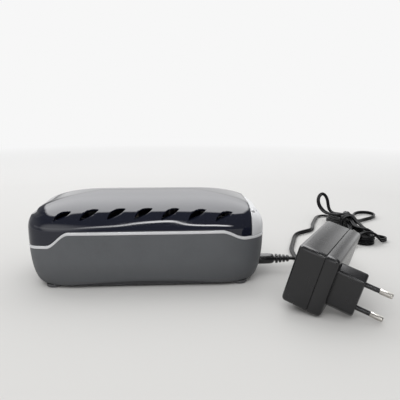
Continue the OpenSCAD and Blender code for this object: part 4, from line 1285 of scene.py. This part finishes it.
# %% Strip of light low in front
strip_points = ((0.1, 0.316), (0.23, 0.42), (0.33, 0.6), (0.4, 0.66), (0.47, 0.685), (0.52, 0.585),
                (0.57, 0.45), (0.66, 0.38), (0.77, 0.36))
strip_height = room.curve(eased(dir_x, -0.35, 0.35), 0.2, 0.25, strip_points)
off_strip = worked("ABSOLUTE", worked("SUBTRACT", dir_z, strip_height))
strip = product(eased(off_strip, 0.022, 0.075, 1, 0), eased(dir_y, -0.3, -0.2, 1, 0),
                eased(dir_x, -0.31, 0.0, 0.04, 1), eased(dir_x, 0.2, 0.32, 1, 0))
print("world nodes", len(room.nodes))

# %% [markdown]
# The matt pieces and the table need even light, not the stripes that gloss mirrors. Lamps that are
# hidden from some rays could do it too. The light path node is simpler: mirror rays get the sum
# of the areas, the camera gets a white ground, and all other rays get a plain soft sky.

# %% Light by kind of ray
strip_power, dark_room, white_ground = 16.0, 0.2, 0.93


def choose(when, if_not, if_so):
    made = room.node("Mix")
    room.feed([made.inputs[i] for i in (0, 2, 3)], (when, if_not, if_so))
    return made.outputs[0]


mirrored = worked("MULTIPLY_ADD", strip, strip_power, dark_room)
for area in (behind, beside, left_behind, left_glow):
    mirrored = worked("ADD", mirrored, area)
plain = eased(dir_y, -0.6, 0.4, 0.72, 0.86)
kind_of_ray = room.node("LightPath").outputs
strength = choose(kind_of_ray["Is Glossy Ray"], plain, mirrored)
strength = choose(kind_of_ray["Is Camera Ray"], strength, white_ground)
room.feed([room.nodes["Background"].inputs[k] for k in ("Color", "Strength")], ((1, 1, 1, 1), strength))
print("world nodes", len(room.nodes))

# %% [markdown]
# A bright panel hangs close above the charger and ends just in front of it, so the lid's crown is
# bright and its front is dark. An area lamp is a rectangle, and gloss draws its outline. So the
# panel is a mesh with an outline of its own. An inner and an outer ring give it a soft edge.

# %% Overhead panel
panel_z, soft_edge = 460, 16
panel_outline = [(-233, -191), (-166, -109), (-86, -90), (0, -89), (48, -106), (200, -165), (265, -110),
                 (330, 100), (400, 450), (560, 1406), (-790, 1406), (-565, 760), (-358, 172), (-320, -40),
                 (-300, -110)]


def moved_out(outline, by):
    """The outline with each corner moved square to its neighbours, outwards when by is above 0."""
    out = []
    for i, (x, y) in enumerate(outline):
        (x0, y0), (x1, y1) = outline[i - 1], outline[(i + 1) % len(outline)]
        d = math.hypot(x1 - x0, y1 - y0)
        out.append((x + by * (y1 - y0) / d, y - by * (x1 - x0) / d, panel_z))
    return out


n = len(panel_outline)
rings = moved_out(panel_outline, soft_edge) + moved_out(panel_outline, -soft_edge)
panel = mesh_object("overhead_panel", rings, walls(n) + [tuple(range(n, 2 * n))])
panel.data.attributes.new("soft", "FLOAT", "POINT").data.foreach_set("value", [0.0] * n + [1.0] * n)
panel.visible_camera = panel.visible_diffuse = panel.visible_shadow = panel.visible_transmission = False
print("panel faces", faces_of(panel))

# %% [markdown]
# The panel's light falls off towards the back, as under a real soft box that leans away. Two
# colours at its ends could be mixed evenly, but the lid shows that fall as a long gradient, so a
# curve shapes it. The number stored on the rings fades its edge. Mirror rays alone see it.

# %% Light of the panel
panel_light = Finish("panel_light", (0, 0, 0, 1), 1)
to_the_back = panel_light.ramp(panel_light.split(panel_light.place)["Y"], 0, 1, 0, 1.4)
fade = panel_light.curve(to_the_back, 1, 0.23, ((0.05, 1.0), (0.13, 0.92), (0.22, 0.74), (0.35, 0.5),
                                               (0.5, 0.37), (0.7, 0.28)))
rim_fade = panel_light.node("Attribute")
rim_fade.attribute_name = "soft"
level = panel_light.node("Math")
level.operation = "MULTIPLY"
panel_light.feed(level.inputs, (fade, rim_fade.outputs["Fac"]))
glare = panel_light.node("Emission", Color=(6.8, 6.8, 6.85, 1), Strength=level.outputs[0])
panel_light.surface(glare.outputs["Emission"])
panel.data.materials.append(panel_light.material)
print("panel nodes", len(panel_light.nodes))

# %% [markdown]
# The mouldings are shaped by a wide soft box, overhead and behind, and by a weak fill from the
# front. A sun would be one line, but its shadows are hard. Both lamps are large, so that shadows
# stay soft, and gloss doesn't see them: it has the panel and the world.

# %% Lamps


def lamp(name, place, aim, size, watts):
    data = bpy.data.lights.new(name, "AREA")
    data.shape, data.energy = "RECTANGLE", watts
    data.size, data.size_y = size
    made = new_object(name, data)
    made.location = place
    made.rotation_euler = (Vector(aim) - Vector(place)).to_track_quat("-Z", "Y").to_euler()
    made.visible_glossy = False


lamp("soft_box", (-0.15, 0.62, 0.85), (0.05, 0.02, 0.03), (1.4, 0.8), 4.1)
lamp("front_fill", (-0.2, -1.0, 1.15), (0.05, 0, 0.03), (1.2, 0.8), 5.4)
bpy.context.scene.view_settings.view_transform = "Standard"
print("lamps", len(bpy.data.lights))
